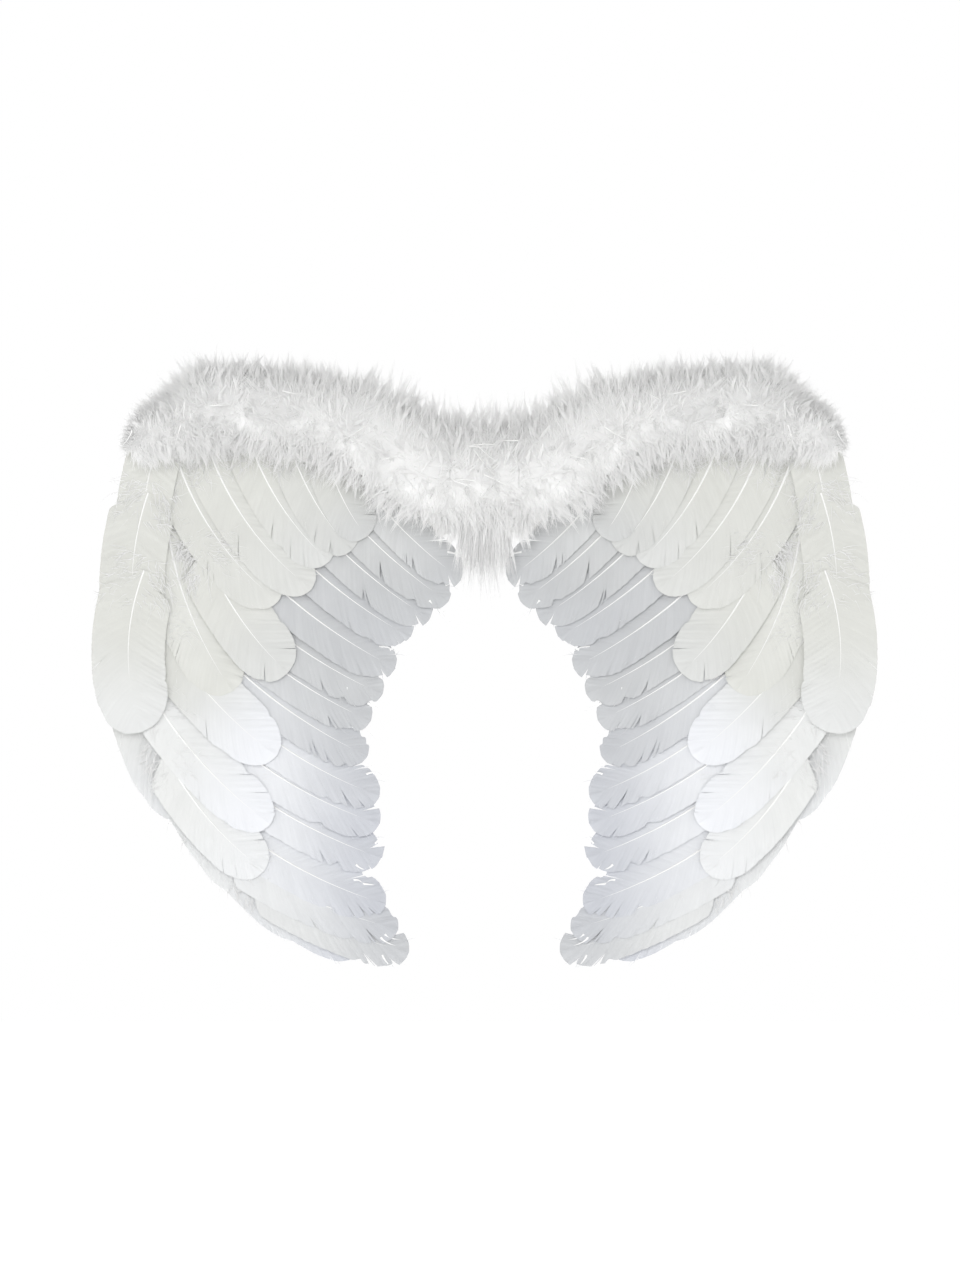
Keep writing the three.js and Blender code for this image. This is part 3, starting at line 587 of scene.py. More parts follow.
def hairs(form, root, direction, curl, facing, length, width, dusk, cool, rings=2, slot=0):
    """Tapered hairs along root + length (direction w + curl w squared) for w from 0 to 1.

    Each is a flat three-sided blade: its broad side is turned to face, and it is a fifth as thick.
    """
    n = len(root)
    w = np.linspace(0, 1, rings + 1)
    spine = root[:, None] + length[:, None, None] * (
        direction[:, None] * w[None, :, None] + curl[:, None] * (w ** 2)[None, :, None])
    side = unit(np.cross(direction, facing))
    other = unit(np.cross(side, direction))
    ring = np.stack([side / 2, other / 5, -side / 2], axis=1)
    widths = np.broadcast_to(width, n)[:, None] * (1 - 0.7 * w[None, :-1])
    body = spine[:, :-1, None] + ring[:, None] * widths[..., None, None]
    vertices = np.concatenate([body.reshape(n, -1, 3), spine[:, -1:]], axis=1)
    grid = np.arange(rings * 3).reshape(rings, 3)
    tip = np.stack([grid[-1], np.roll(grid[-1], -1), np.full(3, rings * 3)], -1)
    per = rings * 3 + 1
    shift = (np.arange(n) * per)[:, None, None]
    faces = [(block[None] + shift).reshape(-1, block.shape[1])
             for block in (ring_walls(grid), tip, grid[:1, ::-1])]
    along = np.append(np.repeat(w[:-1], 3), 1.0)
    uv = np.stack([np.tile(along, n) * np.repeat(length, per), np.zeros(n * per)], -1)
    form.add(vertices, faces, uv, [np.repeat(np.broadcast_to(t, n), per) for t in (dusk, cool)], slot)


def strands(form, base, point, each, thick, width, dusk, rng):
    """Locks: each hairs, scattered by thick round every base, bend together to its point."""
    many = len(base) * each
    root = np.repeat(base, each, axis=0) + rng.normal(0, thick, (many, 3))
    straight = np.repeat(point, each, axis=0) + rng.normal(0, thick / 3, (many, 3)) - root
    length = np.linalg.norm(straight, axis=1)
    start = unit(unit(straight) + rng.normal(0, 0.12, (many, 3)))
    curl = straight / length[:, None] - start
    hairs(form, root, start, curl, FORWARD, length * rng.uniform(0.7, 1.0, many), width,
          np.repeat(np.clip(dusk, 0, 1), each), 1.0)


# Feathers
def shaft(feather, s):
    """Point and heading of the shaft at share s, out and down in metres.

    The point is (1-s) squared root + 2 s (1-s) middle + s squared tip, where middle is pushed off
    the straight line by twice the bend, to the lower side. The heading is its unit derivative.
    """
    root = np.array([feather.root_out * HALF_SPAN, feather.root_down * WING_HEIGHT])
    tip = np.array([feather.tip_out * HALF_SPAN, feather.tip_down * WING_HEIGHT])
    along = tip - root
    middle = root + along / 2 + 2 * feather.bend * np.array([along[1], -along[0]])
    s = np.asarray(s, float)[..., None]
    point = (1 - s) ** 2 * root + 2 * s * (1 - s) * middle + s ** 2 * tip
    heading = unit((1 - s) * (middle - root) + s * (tip - middle))
    return point, heading


def shaft_axes(feather, s):
    """Unit vectors along the shaft and across it towards its lower side, on the right wing."""
    _, heading = shaft(feather, s)
    return (np.stack([heading[:, 0], 0 * s, -heading[:, 1]], -1),
            np.stack([heading[:, 1], 0 * s, heading[:, 0]], -1))


def shaft_length(feather):
    """Length of the shaft, as the sum of short chords."""
    point, _ = shaft(feather, np.linspace(0, 1, 50))
    return np.linalg.norm(np.diff(point, axis=0), axis=1).sum()


def vane_tone(feather, s, wave=0.0):
    """Grey and painted shade, and cool, at share s of the shaft: each goes from its value at the root to that
    at the tip.
    """
    share = smooth(*TONE_SPAN, s)
    dusk = feather.dusk_root + (feather.dusk_tip - feather.dusk_root) * share + wave
    return np.clip(dusk, 0, 1), feather.cool_root + (feather.cool_tip - feather.cool_root) * share


def vane_share(s):
    """Width of the vane at share s: bare quill, full vane, blunt round tip."""
    s = np.clip(s, 0, 1)
    closing = np.maximum(0, (s - TIP_START) / (1 - TIP_START))
    closed = np.sqrt(1 - (1 - TIP_WIDTH ** 2) * closing ** TIP_POWER)
    return (QUILL_SHARE + (1 - QUILL_SHARE) * smooth(QUILL_END, VANE_FULL, s)) * closed


def half_width(feather, s):
    """Half the vane's width at share s."""
    return feather.width * FEATHER_WIDTH * vane_share(s) / 2


def on_wing(feather, s, across, forward, tilt):
    """Place on the right wing beside the shaft, across it towards its lower side, and forward of it.

    x is out + heading down times across, z is the height of the same point, and y is minus
    forward, less tilt times across, less the wing's bow.
    """
    point, heading = shaft(feather, s)
    x = point[..., 0] + heading[..., 1] * across
    z = -(point[..., 1] - heading[..., 0] * across)
    return np.stack([x, -forward - tilt * across - bow(x), z], -1)


def row_tilt(row):
    """Lean of a row's vanes: one feather's depth over the least distance between two shafts."""
    least = 1.0
    for upper, lower in zip(row, row[1:]):
        start, _ = shaft(upper, np.array([0.2, 0.5, 0.8]))
        track, _ = shaft(lower, np.linspace(0, 1, 25))
        least = min(least, np.linalg.norm(start[:, None] - track[None], axis=-1).min())
    return (FEATHER_THICKNESS + FEATHER_CAMBER + CLEARANCE) / least


def blade_depth(feather, tilt, node, extra=0.0):
    """How far the blade's shaft stands forward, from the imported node's foremost point."""
    column = np.array([-1, 0, 1])
    beside = half_width(feather, BLADE_ROWS)[:, None] * column
    grid = on_wing(feather, BLADE_ROWS[:, None], beside, FEATHER_CAMBER * (1 - column ** 2), tilt)
    low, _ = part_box(node)
    return grid[..., 1].min() - FEATHER_THICKNESS / 2 - low[1] - extra


def worn_edge(q, rng, wear):
    """How far each barb reaches, as a share: slow and quick waves, and a few notches near the tip."""
    waves = sum(rng.uniform(0.4, 1) * np.sin(2 * np.pi * (q * rng.uniform(low, high) + rng.random()))
                for low, high in EDGE_WAVES)
    reach = 1 - FRAY * (0.6 + 0.4 * waves * wear + 0.5 * rng.uniform(-1, 1, len(q)) * smooth(0.2, 0.5, q))
    for _ in range(rng.integers(1, 4)):
        middle, width = rng.uniform(*NOTCH_PLACE), rng.uniform(*NOTCH_WIDTH)
        reach -= NOTCH * wear * rng.uniform(0.2, 1) * np.exp(-((q - middle) / width) ** 2)
    return reach, waves


def vane(form, feather, depth, tilt, wear, flat, side, rng, settings):
    """One side of a feather's web, in locks of barbs that part at a few splits.

    A barb q starts on the shaft at BARB_END q and ends on the outline at 1 - (1-q) to the power
    BARB_LEAD. A point at share v of it lies v to the power BARB_SWEEP of the way between, and v of
    the outline's half width across. Each split pushes the barbs on its two sides apart near the edge.
    """
    length = shaft_length(feather)
    columns = max(LEAST_BARBS, int(length / settings.barb_pitch))
    q = np.linspace(0, 1, columns + 1)
    reach, waves = worn_edge(q, rng, wear)
    cuts = np.unique(np.round(rng.uniform(*SPLIT_PLACE, rng.integers(1, 4)) * columns).astype(int))
    cuts = cuts[(cuts > 2) & (cuts < columns - 1)]
    opening = rng.uniform(0.2, 1, len(cuts)) ** 1.5 * settings.split_gap * wear
    begin = rng.uniform(*SPLIT_START, len(cuts))
    droop = rng.uniform(-LOCK_DROOP, LOCK_DROOP, len(cuts) + 1) * wear
    bounds = np.concatenate([[0], cuts, [columns]])
    v = VANE_ROWS[:, None]
    for k in range(len(bounds) - 1):
        a, b = bounds[k], bounds[k + 1]
        part = q[a:b + 1]
        inner = BARB_END * part
        outer = 1 - (1 - part) ** BARB_LEAD
        s = inner + (outer - inner) * v ** BARB_SWEEP
        for cut, gap, start in zip(cuts, opening, begin):
            sign = -1 if b <= cut else 1
            fade = np.exp(-np.abs(part - q[cut]) / SPLIT_FADE)
            s = s + sign * gap / length * fade * smooth(start, SPLIT_FULL, v)
        half = half_width(feather, outer) * np.sqrt(np.minimum(1, (1 - part) / TIP_CLOSING))
        across = side * half * v * reach[a:b + 1]
        crown = (FEATHER_CAMBER if flat else settings.crown) * (1 - v ** 2)
        ripple = RIPPLE * waves[a:b + 1] * np.minimum(1, 2 * v)
        seat = 0 if flat else settings.crown - FEATHER_CAMBER
        forward = depth + crown + ripple + droop[k] * v ** 2 - seat
        face = on_wing(feather, s, across, forward, tilt)
        back = face + (0, settings.vane, 0)
        barb = np.broadcast_to(np.stack([(inner * length) + 0 * v, half * v + 0 * part], -1), s.shape + (2,))
        tone = [np.stack([t, t]) for t in vane_tone(feather, s, 0.03 * waves[a:b + 1] * v)]
        form.add(np.stack([face, back]), sheet_faces(*s.shape), np.stack([barb, barb]), tone, VANE)


def quill(form, feather, depth, tilt, flat, settings):
    """The shaft: an oval tube that tapers from root to tip and stands proud of the vane."""
    s = np.linspace(0.0, QUILL_REACH, QUILL_STATIONS)
    flat_wide, flat_high = FLAT_QUILL if flat else (1, 1)
    taper = QUILL_TIP + (1 - QUILL_TIP) * (1 - s) ** 1.3
    wide = settings.quill / 2 * taper * min(QUILL_BROAD, feather.width) * flat_wide
    high = np.minimum(QUILL_HEIGHT, wide * QUILL_OVAL) * flat_high
    centres = on_wing(feather, s, 0 * s, depth + FEATHER_CAMBER - SINK, tilt)
    _, across = shaft_axes(feather, s)
    tube(form, centres, across, FORWARD, wide, high, 8, shaft_length(feather))


def wisps(form, feather, depth, tilt, down, curls, rng):
    """Loose barbs: some that stand past the edge, a few long curled ones, and down at the vane's root."""
    for kind, count in ((LOOSE_BARBS, BARB_ENDS), (CURLS, curls), (BASE_DOWN, down)):
        if count == 0:
            continue
        s = rng.uniform(kind.low, kind.high, count)
        side = rng.choice([-1, 1], count)
        half = half_width(feather, np.maximum(s, VANE_FULL))
        beside = side * half * rng.uniform(kind.near, kind.far, count)
        root = on_wing(feather, s, beside, depth - SINK, tilt)
        along, across = shaft_axes(feather, s)
        across = across * side[:, None]
        noise = rng.normal(0, kind.ruffle, (count, 3)) * (1, 0.3, 1)
        direction = unit(along * kind.lead + across + noise - (0, kind.forward, 0))
        curl = along * rng.uniform(-0.5, 0.7, (count, 1)) - across * rng.uniform(0, 0.5, (count, 1))
        tone = kind.tone or vane_tone(feather, s, -LOOSE_PALER)
        hairs(form, root, direction, curl, FORWARD, kind.length * rng.uniform(0.5, 1.3, count),
              kind.width, *tone, rings=kind.rings, slot=kind.slot)


def feather_form(blades, wear, down, curls, flat, seed, settings):
    """The form of one feather, or of the few that make a cluster, on the right wing."""
    form = Form()
    rng = np.random.default_rng(seed)
    for feather, depth, tilt in blades:
        for side in (-1, 1):
            vane(form, feather, depth, tilt, wear, flat, side, rng, settings)
        quill(form, feather, depth, tilt, flat, settings)
        wisps(form, feather, depth, tilt, down, curls, rng)
    return form


# Trim
def trim_back_range():
    """From the panel's front to the foremost point of the edge coverts, on which the trim lies."""
    low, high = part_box("edge_coverts_right")
    return -low[1] - float(bow((low[0] + high[0]) / 2)) - PANEL_FRONT


def trim_rings(x, z, half, lean, lift, back_range):
    """The trim's section round each station: across it times half, leaning, and forward by its depth."""
    across, back, front = TRIM_SECTION.T
    rise = across[None] * half[:, None]
    px = x[:, None] + np.sin(lean)[:, None] * rise
    pz = z[:, None] + np.cos(lean)[:, None] * rise
    seat = np.maximum(back[None], lift[:, None]) * back_range
    depth = PANEL_FRONT + CLEARANCE + seat + front[None] * TRIM_DEPTH
    return np.stack([px, -depth - bow(px), pz], -1)


def trim_core(rings):
    """The soft core of a run of trim, and what the comb needs: normals, edges, ends and hair sizes.

    The core is the section shrunk to its middle by CORE_SHARE. Hairs are shorter where the section
    is low. Those of the crest are longest near the middle of the wings. The shoulder is where the
    trim bends down at its outer end, which a run has when it reaches past the pad.
    """
    shell = resample(resample(rings, CORE_RINGS), CORE_SIDES, axis=1, closed=True)
    across = resample(TRIM_SECTION[:, 0], CORE_SIDES, closed=True)
    middle = shell.mean(axis=1, keepdims=True)
    core = middle + (shell - middle) * CORE_SHARE
    normals = normals_of(core)
    up = unit(shell[:, np.argmax(across)] - shell[:, np.argmin(across)])
    outward = unit(np.gradient(middle[:, 0], axis=0))
    height = np.linalg.norm(shell.max(axis=1) - shell.min(axis=1), axis=-1)
    t = np.linspace(0, 1, len(core))
    shoulder = smooth(SHOULDER, 1, t) * (shell[-1, 0, 0] > PAD_HALF_WIDTH)
    size = np.clip(height / height.max() * TALLEST, LEAST_HAIR, 1)
    crest = 1 + CREST_RISE * (1 - smooth(*CREST_END, np.abs(middle[:, 0, 0])))
    rear = normals[len(core) // 2, :, 1] > 0.5
    return Trim(core, normals, across, rear, up, outward, size, crest, shoulder)


def swirl(trim, i, j, rng):
    """A slow wave over the core, within -1 and 1, at its ring i and the place j round it."""
    t, turn, total = i / len(trim.core), j / len(trim.across), 0.0
    for _ in range(SWIRL_WAVES):
        total = total + np.sin(2 * np.pi * (rng.uniform(2, 7) * t + rng.integers(1, 4) * turn + rng.random()))
    return total / SWIRL_WAVES


def comb(trim, i, j, side, lift, rng):
    """The way that down lies: up the section for side 1, down it for -1, lifted off the core.

    It leans along the trim in slow waves, and over the shoulder the lower side turns down.
    """
    lean = COMB_OUT + SWIRL * swirl(trim, i, j, rng) + rng.normal(0, COMB_STRAY, len(i))
    turned = (trim.shoulder[i] * (SHOULDER_TURN - SHOULDER_SIDE * side))[:, None]
    aim = (trim.normals[i, j] * lift + trim.up[i] * side[:, None] * COMB_UP
           + trim.outward[i] * lean[:, None] * (1 - turned) + turned * SHOULDER_FALL)
    return unit(aim)


def hair_size(trim, i, side):
    """Share of a full hair's length at ring i: over the shoulder the lower side has longer hairs."""
    return trim.size[i] + SHOULDER_LONGER * trim.shoulder[i] * (side < 0)


def down_grey_and_painted_shade(points, across):
    """Grey all over, a little more along the top edge as painted shade, and none low down in the middle."""
    patch = (1 - smooth(*PATCH_END, np.abs(points[..., 0]))) * (1 - smooth(*PATCH_TOP, across))
    return np.clip(DOWN_GREY + TOP_PAINTED_SHADE * smooth(*TOP_START, across) - DOWN_GREY * patch, 0, 1)


def scatter(trim, count, places, rng):
    """Rings and places round them where this many hairs start, and how grey each is."""
    i = rng.integers(0, len(trim.core), int(count))
    j = rng.choice(places, len(i))
    return i, j, down_grey_and_painted_shade(trim.core[i, j], trim.across[j])


def coat(form, trim, count, places, settings, rng):
    """Single hairs combed over the core. They part at PARTING, and are longest where they lie flattest."""
    i, j, dusk = scatter(trim, count, places, rng)
    side = 1.3 * (trim.across[j] - PARTING) + 0.55 * swirl(trim, i, j, rng) + rng.normal(0, 0.35, len(i))
    side = np.clip(side, -1, 1)
    normals = trim.normals[i, j]
    direction = unit(comb(trim, i, j, side, COAT_LIFT, rng) + rng.normal(0, COMB_SPREAD, (len(i), 3)))
    curl = -0.25 * normals + rng.normal(0, 0.18, (len(i), 3)) + (0, 0, -0.05)
    size = settings.length * (0.75 + 0.25 * np.abs(side)) * hair_size(trim, i, side)
    size = size * rng.uniform(0.55, 1.1, len(i))
    root = trim.core[i, j] + rng.normal(0, COAT_SCATTER, (len(i), 3))
    hairs(form, root, direction, curl, normals, size, settings.width,
          np.clip(dusk + rng.normal(0, 0.03, len(i)), 0, 1), 1.0)


def fluff(form, trim, scale, settings, rng):
    """The core, combed down all over it, locks that lie on it, a fringe and a crest of locks."""
    core, across = trim.core, trim.across
    skin(form, core, down_grey_and_painted_shade(core, across[None] + 0 * core[..., 0]))
    front, rear = np.flatnonzero(~trim.rear), np.flatnonzero(trim.rear)
    coat(form, trim, settings.hairs * scale, np.concatenate([front, front, front, rear]), settings, rng)
    places = {
        "front": front,
        "fringe": front[across[front] < FRINGE_EDGE],
        "crest": (np.argmax(across) + np.arange(-CREST_SIDES, CREST_SIDES)) % len(across),
    }
    for kind in TRIM_LOCKS:
        i, j, dusk = scatter(trim, settings.locks * kind.share * scale, places[kind.place], rng)
        side = across[j] * LOCK_SIDE if kind.side is None else np.full(len(i), kind.side)
        way = comb(trim, i, j, np.clip(side + rng.normal(0, 0.3, len(i)), -1, 1), kind.lift, rng)
        base = core[i, j] - way * LOCK_ROOT
        rise = trim.crest[i] if kind.place == "crest" else 1
        reach = kind.reach * hair_size(trim, i, side) * rise * rng.uniform(0.65, 1.15, len(i))
        strands(form, base, base + way * reach[:, None], settings.lock_hairs, kind.thick, settings.width,
                dusk + rng.uniform(-0.12, 0.1, len(i)), rng)


def stray_quills(form, trim, count, rng):
    """Small bare shafts that lie nearly level on the front of the down, each a little bowed.

    Each is a straight line between two points off the core, plus w (1-w) of its bow, and tapers.
    """
    middle = len(trim.core) // 2
    front = np.flatnonzero((np.abs(trim.across) < 0.75) & (trim.normals[middle, :, 1] < -0.7))
    surface = trim.core + STRAY_LIFT * trim.normals
    spacing = np.linalg.norm(surface[middle + 5, front[0]] - surface[middle - 5, front[0]]) / 10
    w = np.linspace(0, 1, 9)[:, None]
    for _ in range(count):
        size = rng.uniform(*STRAY_LENGTH)
        reach = int(size / spacing)
        i, j = rng.integers(0, len(surface) - reach), rng.choice(len(front) - STRAY_SLANT)
        start = surface[i, front[j]]
        end = surface[i + reach, front[j + rng.integers(0, STRAY_SLANT + 1)]]
        if rng.random() < 0.5:
            start, end = end, start
        across = unit(np.cross(unit(end - start), (0.0, 1.0, 0.0)))
        bend = across * rng.uniform(-STRAY_BOW, STRAY_BOW) - (0.0, 0.1, 0.0)
        centres = start + w * (end - start) + size * w * (1 - w) * bend
        wide = STRAY_HALF_WIDTH * (1 - 0.7 * w[:, 0])
        tube(form, centres, across, FORWARD, wide, wide, 6, size)


def trim_run(form, rings, share, strays, settings, rng):
    """One run of trim over these rings, with a share of a wing's hairs, and its stray quills."""
    trim = trim_core(rings)
    fluff(form, trim, share, settings, rng)
    stray_quills(form, trim, strays, rng)


def tuft(form, half, back_range, settings, rng):
    """The downy tuft below the centre: strands that fan out and down, and short ones at its corners."""
    for group in TUFT_GROUPS:
        count = group.count
        share = np.linspace(-1, 1, count) + rng.normal(0, 0.06, count)
        depth = PANEL_FRONT + back_range + rng.uniform(0.0, TUFT_DEPTH, count) * TRIM_DEPTH
        base = np.stack([share * group.spread, -depth, np.full(count, -half * TUFT_TOP)], -1)
        reach = group.length * (1 - TUFT_ROUND * np.abs(share)) * rng.uniform(0.7, 1.05, count)
        slant = unit(np.stack([share * 0.2 + rng.normal(0, 0.08, count), rng.normal(0, 0.05, count),
                               np.full(count, -1.0)], -1))
        # Painted shade greys the strands, from each group's least to its greatest
        strands(form, base, base + reach[:, None] * slant, settings.lock_hairs, TUFT_THICK, TUFT_HAIR,
                rng.uniform(group.dusk_low, group.dusk_high, count), rng)


# Backing
def stitches(form, path, stitch):
    """A run of stitches along a path on the wearer's side: short threads that arch and sink at their ends."""
    run = run_of(path)
    count = int(run[-1] / stitch)
    normal = np.array([0.0, 1.0, 0.0])
    radius = THREAD_RADIUS * THREAD_TAPER
    for k in range(count):
        places = np.linspace(k, k + 1 - STITCH_GAP, len(THREAD_ARCH)) * run[-1] / count
        centres = on_path(path, run, places) + normal * (THREAD_ARCH[:, None] * THREAD_LIFT)
        along = unit(centres[-1] - centres[0])
        tube(form, centres, unit(np.cross(along, normal)), normal, radius, radius, 6, stitch)


def panel_form(stitch):
    """The felt panel and its flat area: smooth curves through the stations, sewn near both edges.

    A point t of the way from the outer to the inner edge is FELT_RIM thick, as a share, plus the
    rest times the fourth root of sin(pi t).
    """
    rows, columns = PANEL_GRID
    stations = resample(PANEL_STATIONS, rows)
    t = np.linspace(0, 1, columns)
    x = (stations[:, None, 0] * (1 - t) + stations[:, None, 2] * t) * HALF_SPAN
    z = -(stations[:, None, 1] * (1 - t) + stations[:, None, 3] * t) * WING_HEIGHT
    middle = PANEL_FRONT - PANEL_THICKNESS / 2
    half = PANEL_THICKNESS / 2 * (FELT_RIM + (1 - FELT_RIM) * np.sin(np.pi * t) ** 0.25)
    face = np.stack([x, -middle - half - bow(x), z], -1)
    back = np.stack([x, -middle + half - bow(x), z], -1)
    form = Form()
    form.add(np.stack([face, back]), sheet_faces(rows, columns))
    surface = (face + back)[1:-1] / 2 + (0, PANEL_THICKNESS / 2 * SEAM_SINK, 0)
    for edge, inner in ((0, 2), (-1, -3)):
        inward = unit(surface[:, inner] - surface[:, edge])
        stitches(form, surface[:, edge] + SEAM_INSET * inward, stitch)
    cells = np.linalg.norm(np.cross(face[1:, :-1] - face[:-1, :-1], face[:-1, 1:] - face[:-1, :-1]), axis=-1)
    return form, float(cells.sum())


def pad_outline(inset):
    """The pad's outline, this far inside its edge: a rectangle with round corners, ten points each."""
    points = []
    for x, z, start in ((PAD_HALF_WIDTH, PAD_BOTTOM, -0.5), (PAD_HALF_WIDTH, PAD_TOP, 0.0),
                        (-PAD_HALF_WIDTH, PAD_TOP, 0.5), (-PAD_HALF_WIDTH, PAD_BOTTOM, 1.0)):
        angle = np.pi * (start + 0.5 * np.linspace(0, 1, 10))
        centre = np.array([x - math.copysign(PAD_CORNER, x), z - math.copysign(PAD_CORNER, z)])
        points.append(centre + (PAD_CORNER - inset) * np.stack([np.cos(angle), np.sin(angle)], -1))
    return np.concatenate(points)


def pad_form(stitch):
    """The felt pad: nested outlines that rise from a thin rim to the full thickness, with a sewn groove."""
    half = PAD_THICKNESS / 2

    def ring(inset, share, face):
        outline = pad_outline(inset)
        y = np.full(len(outline), -half + face * half * share)
        return np.stack([outline[:, 0], y, outline[:, 1]], -1)

    rings = np.stack([ring(*row, -1) for row in PAD_RINGS[::-1]] + [ring(*row, 1) for row in PAD_RINGS])
    form = Form()
    skin(form, rings, np.zeros(rings.shape[:2]))
    seam = ring(*PAD_RINGS[PAD_GROOVE], 1)
    stitches(form, np.concatenate([seam, seam[:1]]), stitch)
    return form


def loop_path():
    """Places of the arm loop's rings, along it and in Y and Z, without the clearance.

    The path is a half circle at the far end and two quarter circles at the near one, with straight
    lines between them, cut into LOOP_RINGS equal steps.
    """
    middle = LOOP_THICKNESS / 2
    top, bottom = LOOP_TOP - middle, LOOP_BOTTOM + middle
    near = LOOP_NEAR_RADIUS - middle
    far = (top - bottom) / 2
    arcs = (
        # y and z of the centre, radius, start and end in half turns, points
        (LOOP_REACH - middle - far, (top + bottom) / 2, far, -0.5, 0.5, 40),
        (middle + near, top - near, near, 0.5, 1.0, 10),
        (middle + near, bottom + near, near, 1.0, 1.5, 10),
    )
    outline = []
    for y, z, radius, start, end, count in arcs:
        angle = np.pi * np.linspace(start, end, count)
        outline.append(np.stack([y + radius * np.cos(angle), z + radius * np.sin(angle)], -1))
    closed = np.concatenate(outline + [outline[0][:1]])
    run = run_of(closed)
    places = np.linspace(0, run[-1], LOOP_RINGS, endpoint=False)
    return places, on_path(closed, run, places)


def loop_form(stitch):
    """The arm loop of the right side: a ribbed band carried along its path, with two seams.

    The band is half as thick as LOOP_THICKNESS on each side, times ribs of 1 - RIB_DEPTH plus
    RIB_DEPTH |cos|, times the root of 1 - |across| to the ninth, which rounds its rims.
    """
    places, path = loop_path()
    heading = unit(np.roll(path, -1, axis=0) - np.roll(path, 1, axis=0))
    outward = np.stack([heading[:, 1], -heading[:, 0]], -1)
    across = np.linspace(-1, 1, LOOP_COLUMNS)
    rib = 1 - RIB_DEPTH + RIB_DEPTH * np.abs(np.cos(across * np.pi * LOOP_RIBS))
    rim = np.sqrt(np.clip(1 - np.abs(across) ** 9, 0.04, 1))
    high = LOOP_THICKNESS / 2 * rib * rim
    beside = np.concatenate([across, across[::-1]]) * LOOP_WIDTH / 2
    height = np.concatenate([high, -high])
    shape = (LOOP_RINGS, 2 * LOOP_COLUMNS)
    rings = np.stack([np.broadcast_to(LOOP_OFFSET + beside, shape),
                      CLEARANCE + path[:, :1] + outward[:, :1] * height,
                      path[:, 1:] + outward[:, 1:] * height], -1)
    grid = np.arange(shape[0] * shape[1]).reshape(shape)
    uv = np.stack([np.repeat(places, shape[1]), np.tile(beside, shape[0])], -1)
    form = Form()
    form.add(rings, [ring_walls(np.concatenate([grid, grid[:1]]))], uv)
    for z in (LOOP_BOTTOM + LOOP_SEAM, LOOP_TOP - LOOP_SEAM):
        seam = np.full((9, 3), (0.0, CLEARANCE + LOOP_THICKNESS, z))
        seam[:, 0] = LOOP_OFFSET + np.linspace(-1, 1, 9) * LOOP_WIDTH * 0.4
        stitches(form, seam, stitch * LOOP_STITCH)
    return form


# Materials
class Value:
    """A shader value: arithmetic on it adds the Math nodes for it."""

    def __init__(self, nodes, socket):
        self.nodes, self.socket = nodes, socket

    def math(self, operation, *values):
        """A Math node of this operation."""
        return self.nodes.make("ShaderNodeMath", {"operation": operation}, *values)

    def __add__(self, other):
        return self.math("ADD", self, other)

    def __sub__(self, other):
        return self.math("SUBTRACT", self, other)

    def __rsub__(self, other):
        return self.math("SUBTRACT", other, self)

    def __mul__(self, other):
        return self.math("MULTIPLY", self, other)

    __radd__ = __add__
    __rmul__ = __mul__


class Nodes:
    """The nodes of one material."""

    def __init__(self, name):
        self.material = bpy.data.materials.new(name)
        self.material.use_nodes = True
        self.tree = self.material.node_tree
        self.shader = self.tree.nodes["Principled BSDF"]

    def set(self, socket, value):
        """Links a shader value to a socket, or sets a constant on it."""
        if isinstance(value, Value):
            self.tree.links.new(value.socket, socket)
        else:
            socket.default_value = value

    def make(self, kind, settings=(), *values, out=0, **named):
        """A node of this kind with its settings, and its sockets by order or by name."""
        node = self.tree.nodes.new(kind)
        for key, value in dict(settings).items():
            setattr(node, key, value)
        for socket, value in zip(node.inputs, values):
            self.set(socket, value)
        for key, value in named.items():
            self.set(node.inputs[key.replace("_", " ")], value)
        return Value(self, node.outputs[out])

    def blend(self, share, first, second):
        """A colour between two, by share."""
        node = self.tree.nodes.new("ShaderNodeMix")
        node.data_type = "RGBA"
        self.set(node.inputs["Factor"], share)
        for socket, value in ((node.inputs[6], first), (node.inputs[7], second)):
            self.set(socket, value if isinstance(value, Value) else (*value, 1))
        return Value(self, node.outputs[2])

    def uv(self, across, along):
        """The piece's UV map, stretched."""
        source = self.make("ShaderNodeUVMap", {"uv_map": "UVMap"})
        return self.make("ShaderNodeMapping", {}, Vector=source, Scale=(across, along, 1))

    def object(self, scale):
        """Object coordinates times a scale."""
        source = self.make("ShaderNodeTexCoord", out=3)
        return self.make("ShaderNodeMapping", {}, Vector=source, Scale=(scale, scale, scale))

    def noise(self, where, detail=2.0):
        """Soft clouds, one to a unit."""
        return self.make("ShaderNodeTexNoise", {}, Vector=where, Scale=1.0, Detail=detail)

    def waves(self, where, direction, distortion=0.0):
        """Ribs across this direction."""
        return self.make("ShaderNodeTexWave", {"bands_direction": direction}, Vector=where, Scale=1.0,
                         Distortion=distortion, Detail=1.0, out=1)

    def attribute(self, name):
        """A number that the mesh holds at each point."""
        return self.make("ShaderNodeAttribute", {"attribute_name": name}, out=2)

    def finish(self, colour, roughness, height, distance, strength, **constants):
        """Feeds the shader: colour, roughness and a bump of this height, and what is the same all over."""
        bump = self.make("ShaderNodeBump", {}, Height=height, Distance=distance, Strength=strength)
        self.set(self.shader.inputs["Base Color"], colour)
        self.set(self.shader.inputs["Roughness"], roughness)
        self.set(self.shader.inputs["Normal"], bump)
        for key, value in constants.items():
            self.set(self.shader.inputs[key.replace("_", " ")], value)
        return self.material


def toned(colour, factor):
    """A colour times a factor, at most white."""
    return tuple(min(1, factor * c) for c in colour)


